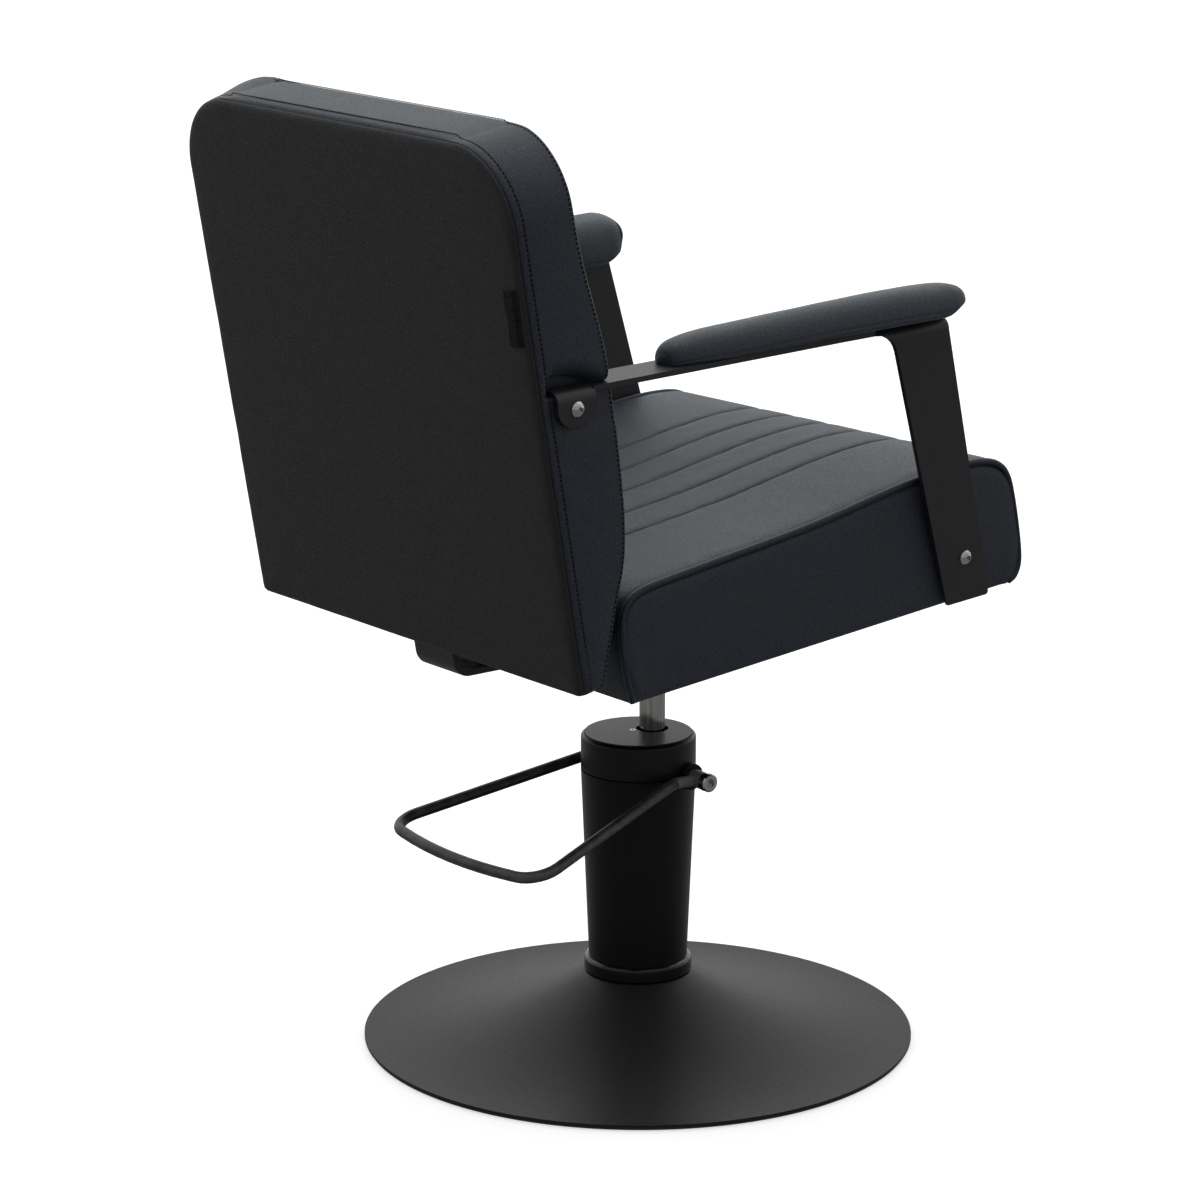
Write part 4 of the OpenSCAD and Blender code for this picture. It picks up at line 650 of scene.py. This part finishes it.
def back_piece():
    """The back's front and border leather, and the outline that its stitch rows follow."""
    rear = SEAM_T
    body_s = np.concatenate([[0, 0.0012, 0.003, 0.006], np.linspace(0.011, BACK_H - BACK_R, 96)])
    arm_s = np.linspace(ARM_FROM, ARM_TO, 91)
    body_s = np.unique(np.round(np.concatenate([body_s, arm_s]), 5))
    angles = np.radians(np.linspace(0, 90, 31))[1:]
    ss = np.concatenate([body_s, BACK_H - BACK_R * (1 - np.sin(angles))])
    ws = np.concatenate([np.full(len(body_s), BACK_HALF), BACK_HALF - BACK_R * (1 - np.cos(angles))])
    ws = ws - FOOT_IN * np.exp(-ss / FOOT_RUN)
    depth = back_depth(ss)
    fs_near = np.array([0.0, 0.0006, 0.0014, 0.0028, 0.0048, 0.0068, 0.0078, 0.0086, 0.0094, 0.0104, 0.0125])
    xs0 = half_stations(1.0)
    xs0 = xs0[xs0 <= 2 * PITCH + 0.0221]
    rings = []
    side_count = 2 * len(fs_near) + 8
    wave = fade_noise(400, 200, (26, 34), 11)[np.round(ss / BACK_H * 399).astype(int)]
    for i, s in enumerate(ss):
        w, t = ws[i], depth[i]
        if t > THIN:
            mid = np.linspace(rear + DENSE, t - DENSE, 11)[1:-1]
            ts = np.concatenate([rear + fs_near, mid, t - fs_near[::-1][:-1]])
        else:
            mid = np.linspace(DENSE, FULL - DENSE, 11)[1:-1]
            ts = rear + (t - rear) * (np.concatenate([fs_near, mid, FULL - fs_near[::-1][:-1]]) / FULL)
        u = (ts - rear) / (t - rear)
        off = BORDER_PUFF * np.sin(np.pi * np.clip(u, 0, 1)) ** 0.7
        off = off - REAR_TUCK * np.exp(-(ts - rear) / REAR_RUN) - FRONT_TUCK * np.exp(-(t - ts) / FRONT_RUN)
        off = off - REAR_DIP * np.exp(-((ts - rear - ROW_REAR) / REAR_DIP_W) ** 2)
        off = off - FRONT_DIP * np.exp(-((t - ts - ROW_FRONT) / FRONT_DIP_W) ** 2)
        off = off + BORDER_WAVE * wave[i, :len(ts)] * np.sin(np.pi * np.clip(u, 0, 1))
        x_side = w - SIDE_IN + off
        edge = w - PANEL_IN
        outer = np.concatenate([np.linspace(xs0[-1], edge - 0.028, 8)[1:],
                                edge - np.array([0.021, 0.015, 0.010, 0.0065, 0.004, 0.002, 0.0008])])
        xs = np.concatenate([xs0, outer])
        h, d = seam_profile(xs, [0, PITCH, 2 * PITCH], *BACK_SEAM)
        away = smooth(np.array(s / CHANNEL_FOOT)) * smooth(np.array((BACK_H - s) / CHANNEL_TOP + CHANNEL_LEFT))
        h = h * away + FRONT_LEVEL
        h = h - EDGE_DIP * np.exp(-(edge - xs) / EDGE_RUN)
        h = h + FRONT_WAVE * wave[i, 60:60 + len(xs)] * (1 + np.exp(-d / PUCKER_RUN))
        side = np.stack([x_side, ts, np.full(len(ts), s)], 1)
        front = np.stack([xs[::-1], t + h[::-1], np.full(len(xs), s)], 1)
        half = np.concatenate([side, front])
        left = half[:-1][::-1].copy()
        left[:, 0] *= -1
        rings.append(np.concatenate([half, left]))
    rings = np.array(rings)
    cols = rings.shape[1]
    # The foam fills the upper left front corner a little more than the rear one
    turn = np.clip((rings[..., 2] - (BACK_H - BACK_R)) / BACK_R, 0, 1)
    arc_in = np.sqrt(np.clip(1 - turn ** 2, 0, 1))
    lobe = turn * arc_in * 2 * smooth((np.abs(rings[..., 0]) - (BACK_HALF - PUFF_START * BACK_R)) / BACK_R)
    front = smooth((rings[..., 1] - SEAM_T) / PUFF_DEPTH)
    push = CORNER_PUFF * lobe * front * (rings[..., 0] > 0)
    rings[..., 0] += push * PUFF_OUT
    rings[..., 2] += push * PUFF_UP
    # The arm plates press the borders in
    for j in list(range(side_count)) + list(range(cols - side_count, cols)):
        x = rings[:, j, 0]
        push = dent(np.abs(x), rings[:, j, 1], rings[:, j, 2])
        rings[:, j, 0] = x - np.sign(x) * push
    last = rings[:, side_count - 1]
    corner = dent(np.abs(last[:, 0]), last[:, 1], last[:, 2])
    for j in range(side_count, side_count + CORNER_COLUMNS):
        for jj in (j, cols - 1 - j):
            x = rings[:, jj, 0]
            near = np.clip(1 - (ws - np.abs(x)) / CORNER_REACH, 0, 1)
            rings[:, jj, 0] = x - np.sign(x) * corner * near
            rings[:, jj, 1] -= CORNER_DROP * corner * near
    v = list(back_frame(rings).reshape(-1, 3))
    f = grid_faces(len(ss), cols, closed=True)
    # Top and foot, from border to border
    for i, puff, tuck, in_z in ((len(ss) - 1, TOP_PUFF, TOP_TUCK, 1.0), (0, 0.0, 0.0, -1.0)):
        ring = rings[i]
        fx = ring[side_count:cols - side_count, 0]
        rows = []
        for k in range(side_count):
            x0, x1 = ring[k, 0], ring[cols - 1 - k, 0]
            xs = np.concatenate([[x0], fx * (x0 / fx[0]) * 0.985, [x1]])
            tt = np.full(len(xs), ring[k, 1])
            u = k / (side_count - 1)
            rise = puff * (math.sin(math.pi * u) ** 0.5) * (1 - (np.abs(xs) / abs(x0)) ** 8)
            fade = 1 - (np.abs(xs) / abs(x0)) ** 12
            rise = rise - (tuck * math.exp(-(ring[k, 1] - SEAM_T) / REAR_RUN)) * fade
            row_dip = REAR_DIP * math.exp(-((ring[k, 1] - SEAM_T - ROW_REAR) / REAR_DIP_W) ** 2)
            rise = rise - row_dip * (in_z > 0)
            rise[0] = rise[-1] = 0
            rows.append(np.stack([xs, tt, ring[k, 2] + rise * in_z], 1))
        panel_edge = ring[side_count - 1:cols - side_count + 1]
        rows.append(np.stack([panel_edge[:, 0], panel_edge[:, 1], np.full(len(fx) + 2, ring[0, 2])], 1))
        rows = np.array(rows)
        off = len(v)
        v += list(back_frame(rows).reshape(-1, 3))
        f += grid_faces(rows.shape[0], rows.shape[1], off)
    ob = build("back_upholstery", v, f, LEATHER, "seat", weld=2e-5)
    return ob, ss, ws, depth


back, back_s, back_w, back_t = back_piece()
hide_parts("back_cushion")


def outline(inset, n=420):
    """Points round the back's rear outline, drawn in by the inset."""
    x, top = BACK_HALF - inset, BACK_H - inset
    r, f = max(BACK_R - inset, 0.004), max(0.007 - inset, 0.0025)
    pts = []

    def arc(cx, cz, rad, a, b, k):
        for t in np.linspace(math.radians(a), math.radians(b), k):
            pts.append((cx + rad * math.cos(t), cz + rad * math.sin(t)))

    arc(x - f, inset + f, f, -90, 0, 8)
    arc(x - r, top - r, r, 0, 90, 40)
    arc(r - x, top - r, r, 90, 180, 40)
    arc(f - x, inset + f, f, 180, 270, 8)
    p = np.array(pts + [pts[0]])
    s = np.concatenate([[0], np.cumsum(np.linalg.norm(np.diff(p, axis=0), axis=1))])
    want = np.linspace(0, s[-1], n, endpoint=False)
    return np.stack([np.interp(want, s, p[:, 0]), np.interp(want, s, p[:, 1])], 1)


def panel_piece():
    """The leather cover behind the back, with a puffed rim in the border seam."""
    # Inset and depth of each ring, from the seam to near the middle
    levels = [(0.0060, 0.0074), (0.0042, 0.0066), (0.0024, 0.0057), (0.0012, 0.0045), (0.0011, 0.0032),
              (0.0019, 0.0020), (0.0034, 0.0011), (0.0056, 0.0004), (0.009, -0.0001), (0.015, -0.0004),
              (0.023, -0.0007), (0.033, -0.0009), (0.046, -0.0011), (0.062, -0.0012), (0.085, -0.0013),
              (0.115, -0.0013), (0.15, -0.0013), (0.19, -0.0013), (0.225, -0.0013)]
    n, edge_wave = 420, 0.0004
    wave = fade_noise(len(levels), n, (8, 70), 21)
    rows = []
    for k, (inset, t) in enumerate(levels):
        o = outline(inset, n)
        tt = np.full(n, t) + edge_wave * wave[k] * math.exp(-abs(inset - 0.012) / 0.02)
        rows.append(np.stack([o[:, 0], tt, o[:, 1]], 1))
    rows = np.array(rows)
    v = list(back_frame(rows).reshape(-1, 3))
    f = grid_faces(len(levels), n, closed=True)
    centre = np.array([[0.0, levels[-1][1], BACK_H / 2], [0.0, levels[0][1], BACK_H / 2]])
    v += list(back_frame(centre))
    last = (len(levels) - 1) * n
    c0, c1 = len(v) - 2, len(v) - 1
    for j in range(n):
        f.append((last + j, last + (j + 1) % n, c0))
        f.append(((j + 1) % n, j, c1))
    return build("back_rear_cover", v, f, LEATHER_REAR, "seat", weld=2e-5)


panel = panel_piece()
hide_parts("rear_panel")


REAR_LIFT, FRONT_LIFT = 0.0009, 0.0006
BRIDGE_IN, BRIDGE_RISE, STITCH_END = 0.006, 0.0022, 0.006


def border_line(offset_rear, offset_front, lift=0.0):
    """Path of a stitch row round the back's border, from foot to foot over the top."""
    pts = []
    for s, w, t in zip(back_s, back_w, back_t):
        tt = SEAM_T + offset_rear if offset_rear is not None else t - offset_front
        pts.append((w - SIDE_IN + lift, tt, s))
    right = np.array(pts)
    top = right[-1]
    across = np.linspace(top[0] - BRIDGE_IN, -top[0] + BRIDGE_IN, 80)
    bridge = np.array([(x, top[1], BACK_H + BRIDGE_RISE + lift) for x in across])
    left = right[::-1].copy()
    left[:, 0] *= -1
    path = np.concatenate([right, bridge, left])
    for k in range(len(path)):
        if abs(path[k][0]) > 0.2:
            push = float(dent(*[np.array(c) for c in (abs(path[k][0]), path[k][1], path[k][2])]))
            path[k][0] -= math.copysign(push, path[k][0])
    return path


def stitches(path, pitch=0.0044, length=0.0027, radius=0.00055):
    """Short lengths of thread along a path on the back."""
    w = back_frame(path)
    s = np.concatenate([[0], np.cumsum(np.linalg.norm(np.diff(w, axis=0), axis=1))])
    parts = []
    at = STITCH_END
    while at < s[-1] - STITCH_END:
        q = at + np.array([0.0, length * 0.33, length * 0.67, length])
        seg = np.stack([np.interp(q, s, w[:, k]) for k in range(3)], 1)
        parts.append(tube(seg, radius, 5))
        at += pitch
    return parts


parts = (stitches(border_line(ROW_REAR, None, REAR_LIFT))
         + stitches(border_line(None, ROW_FRONT, FRONT_LIFT)))
v, f = merged(parts)
build("back_stitching", v, f, THREAD, "seat", weld=0)


def tab_piece():
    """The bare tab caught in the right seam."""
    w, h = 0.020, 0.050
    x0, s0 = -0.2478, 0.349 - 0.025
    rows = []
    us = np.linspace(0, 1, 16)
    vs = np.linspace(0, 1, 24)
    for layer in (0, 1):
        for a in vs:
            row = []
            for u in us:
                curl = 0.0006 * math.sin(u * math.pi) + 0.0004 * math.sin(a * 9 + 1) * u
                t = 0.0022 - 0.0050 * smooth(np.array(u * 2.2)) - curl
                t = max(float(t), -0.0031) + (0.0008 if layer else 0.0)
                row.append((x0 + w * u, t, s0 + h * a + 0.0004 * math.sin(u * 7)))
            rows.append(row)
    rows = np.array(rows)
    v = list(back_frame(rows).reshape(-1, 3))
    n, m = len(us), len(vs)
    f = grid_faces(m, n, 0) + [tuple(reversed(q)) for q in grid_faces(m, n, n * m)]

    def rim(idx):
        for a, b in zip(idx, idx[1:]):
            f.append((a, b, b + n * m, a + n * m))

    rim(list(range(n)))
    rim([(m - 1) * n + j for j in range(n)])
    rim([i * n for i in range(m)])
    rim([i * n + n - 1 for i in range(m)])
    return build("seam_ribbon", v, f, TAB_CLOTH, "seat", weld=0)


ribbon = tab_piece()
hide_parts("seam_tab")


# Arm pads


def strip_inner(y):
    """The inner edge of the arm plate's strip."""
    k = np.clip((y - LEG_HEAD_Y) / (STRIP_TAPER_Y - LEG_HEAD_Y), 0, 1)
    return ARM_OUT - (STRIP_NOSE_W + (STRIP_W - STRIP_NOSE_W) * k)


# How far the padding hangs inside the plate, reaches behind the CAD's and rises under its nose
PAD_HANG, PAD_HEEL, NOSE_LIFT = 0.009, 0.0045, 0.0105
PAD_SEAM_AT, PAD_SEAM_W, PAD_SEAM_DEPTH = 0.16, 0.028, 0.0007
PAD_WAVE = 0.0002
# Shares of the pad's length over which it starts and ends to hang, and where its nose lifts
HANG_FROM, HANG_RUN, HANG_END, LIFT_FROM, LIFT_RUN = 0.35, 0.35, 0.10, 0.90, 0.095
PLATE_EDGE, OVER_GAP = 0.0008, 0.0001


def pad_piece(side):
    rows_n, sec_n = 110, 72
    st = catmull(PAD_SHARES, rows_n)
    section = catmull([(0.0, 0.0), (0.6, 0.0), (0.84, 0.0), (0.94, 0.03), (0.988, 0.11), (1.0, 0.23),
                       (0.985, 0.39), (0.935, 0.56), (0.84, 0.715), (0.69, 0.845), (0.49, 0.935),
                       (0.26, 0.985), (0.0, 1.0)], sec_n)
    wave = fade_noise(rows_n, sec_n * 2, (22, 14), 31 if side > 0 else 32)
    rings = []
    for i, (share, w, h) in enumerate(st):
        a = PAD_ROLL * min(1, share / PAD_ROLL_SHARE)
        cx = PAD_REAR_X + PAD_FLARE * max(share, 0) ** PAD_POWER
        y = PAD_FRONT + (PAD_L + PAD_HEEL) * (1 - share)
        prof = np.concatenate([section, section[-2:0:-1] * [-1, 1]])
        x = cx + prof[:, 0] * w * PAD_HALF - BEND_X
        z = prof[:, 1] * h * PAD_H
        # Seam round the pad where top and border leather meet
        seam = np.exp(-((prof[:, 1] - PAD_SEAM_AT) / PAD_SEAM_W) ** 2) * (np.abs(prof[:, 0]) > 0.9)
        x = x - np.sign(prof[:, 0]) * PAD_SEAM_DEPTH * seam
        grow = PAD_WAVE * wave[i, :len(prof)] * (prof[:, 1] > 0.1)
        hang = PAD_HANG * smooth(np.array((share - HANG_FROM) / HANG_RUN))
        hang = hang * smooth(np.array((1.0 - share) / HANG_END))
        z = z + grow - hang * smooth((-prof[:, 0] - 0.15) / 0.75) * smooth((1.15 - prof[:, 1]) / 0.8)
        beyond = np.maximum(smooth((BEND_X + x - ARM_OUT) / 0.016), float(y < LEG_HEAD_Y))
        z = z + NOSE_LIFT * smooth(np.array((share - LIFT_FROM) / LIFT_RUN)) * (1 - prof[:, 1]) * beyond
        rx = BEND_X + x * math.cos(a) - z * math.sin(a)
        rz = x * math.sin(a) + z * math.cos(a)
        if y > LEG_HEAD_Y - 0.0005:
            over = rx > strip_inner(y) - PLATE_EDGE
            rz = np.where(over, np.maximum(rz, OVER_GAP), rz)
        rings.append(np.stack([rx, np.full(len(rx), y), rz], 1))
    rings = np.array(rings)
    rings[..., 0] *= side
    n = rings.shape[1]
    v = list(arm_frame(rings).reshape(-1, 3))
    f = grid_faces(rows_n, n, closed=True)
    for i in (0, rows_n - 1):
        c = rings[i].mean(axis=0) + np.array([0, 0.0012 if i == 0 else -0.0012, 0])
        inner = rings[i] * 0.45 + c * 0.55 + np.array([0, 0.0008 if i == 0 else -0.0008, 0])
        off = len(v)
        v += list(arm_frame(inner)) + [arm_frame(c)]
        for j in range(n):
            k = (j + 1) % n
            f.append((i * n + j, i * n + k, off + k, off + j))
            f.append((off + j, off + k, off + n))
    name = "arm_pad_leather_left" if side > 0 else "arm_pad_leather_right"
    ob = build(name, v, f, LEATHER_PAD, "seat", weld=2e-5)
    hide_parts("arm_pad_left" if side > 0 else "arm_pad_right")


pad_piece(1)
pad_piece(-1)


# Stage
FLOOR_GLINT = 0.45
WORLD_LOW, WORLD_TOP, WORLD_NEAR, WORLD_FAR = 0.75, 1.15, 0.66, 1.32
AWAY_X, AWAY_Y = 0.787, -0.617  # level direction away from the camera's place
FLOOR_SIZE, FLOOR_DROP = 60, 0.0003
FLOOR_SEEN, FLOOR_BOUNCE, FLOOR_GLOW = 0.8, 0.12, 0.42


def stage_material(name, colour, bounce, glow):
    """A floor that the camera sees as bright paper, and that lights the object less than it looks."""
    m, nt, b = material(name)
    b.inputs["Roughness"].default_value = 0.9
    b.inputs["Specular IOR Level"].default_value = 0.0
    lp = add(nt, "ShaderNodeLightPath")
    seen = maths(nt, "MAXIMUM", lp.outputs["Is Camera Ray"], lp.outputs["Is Transmission Ray"])
    glint = maths(nt, "MULTIPLY", lp.outputs["Is Glossy Ray"], FLOOR_GLINT)
    tone = maths(nt, "ADD", maths(nt, "MULTIPLY", seen, colour - bounce), bounce)
    mixed = add(nt, "ShaderNodeCombineColor")
    for channel in ("Red", "Green", "Blue"):
        nt.links.new(tone, mixed.inputs[channel])
    nt.links.new(mixed.outputs["Color"], b.inputs["Base Color"])
    b.inputs["Emission Color"].default_value = (1, 1, 1, 1)
    nt.links.new(maths(nt, "MULTIPLY", maths(nt, "MAXIMUM", seen, glint), glow), b.inputs["Emission Strength"])
    return m


bpy.ops.mesh.primitive_plane_add(size=FLOOR_SIZE, location=(0, 0, -FLOOR_DROP))
floor = bpy.context.object
floor.name = "stage_floor"
floor.data.materials.append(stage_material("stage_white", FLOOR_SEEN, FLOOR_BOUNCE, FLOOR_GLOW))

world = bpy.data.worlds.new("stage_world")
world.use_nodes = True
bpy.context.scene.world = world
nt = world.node_tree
bg = nt.nodes["Background"]
bg.inputs["Color"].default_value = (1, 1, 1, 1)
lp = add(nt, "ShaderNodeLightPath")
cam_ray = maths(nt, "MAXIMUM", lp.outputs["Is Camera Ray"], lp.outputs["Is Transmission Ray"])
# A pale room: brighter above the horizon and overhead, and on the side away from the camera's place
tc = add(nt, "ShaderNodeTexCoord")
xyz = add(nt, "ShaderNodeSeparateXYZ")
nt.links.new(tc.outputs["Generated"], xyz.inputs[0])
height = maths(nt, "ADD", maths(nt, "MULTIPLY", xyz.outputs["Z"], 0.5), 0.5)
band = ramp(nt, height, [(0.0, grey(WORLD_LOW)), (0.48, grey(WORLD_LOW)), (0.56, grey(1.0)), (0.70, grey(0.80)),
                         (0.80, grey(WORLD_TOP)), (1.0, grey(WORLD_TOP))])
side = maths(nt, "ADD", maths(nt, "MULTIPLY", xyz.outputs["X"], AWAY_X),
             maths(nt, "MULTIPLY", xyz.outputs["Y"], AWAY_Y))
far = ramp(nt, maths(nt, "ADD", maths(nt, "MULTIPLY", side, 0.5), 0.5),
           [(0.35, grey(WORLD_NEAR)), (0.8, grey(WORLD_FAR))])
room = maths(nt, "MULTIPLY", band, far)
unseen = maths(nt, "SUBTRACT", 1.0, cam_ray)
nt.links.new(maths(nt, "ADD", cam_ray, maths(nt, "MULTIPLY", unseen, room)), bg.inputs["Strength"])


def area(name, location, target, size, energy):
    """A rectangular lamp that points at its target."""
    data = bpy.data.lights.new(name, "AREA")
    data.shape = "RECTANGLE"
    data.size, data.size_y = size
    data.energy = energy
    ob = bpy.data.objects.new(name, data)
    ob.location = location
    d = np.array(target, float) - np.array(location, float)
    ob.rotation_euler = Vector(d).to_track_quat("-Z", "Y").to_euler()
    bpy.context.collection.objects.link(ob)


area("key_top", (0.5, -0.4, 3.2), (0, 0, 0.4), (2.6, 2.2), 9)

# Camera fitted to the photograph
FOCAL_PX, PHOTO_PX, SENSOR = 4294.869, 1200, 36
CAMERA_AT = (-3.10971106, 2.48893644, 1.44030956)
look = np.array([0.76266363, -0.59885311, -0.244375])
right = np.array([-0.617497012, -0.786573122, 0.000406125])
up = np.array([0.19246202, -0.1505911, 0.96968072])
cam_data = bpy.data.cameras.new("camera")
cam = bpy.data.objects.new("camera", cam_data)
bpy.context.collection.objects.link(cam)
cam.matrix_world = Matrix([[right[i], up[i], -look[i], CAMERA_AT[i]] for i in range(3)] + [[0, 0, 0, 1]])
cam_data.sensor_width = SENSOR
cam_data.lens = FOCAL_PX * SENSOR / PHOTO_PX
cam_data.clip_end = 200
bpy.context.scene.camera = cam
bpy.context.scene.view_settings.view_transform = "Standard"
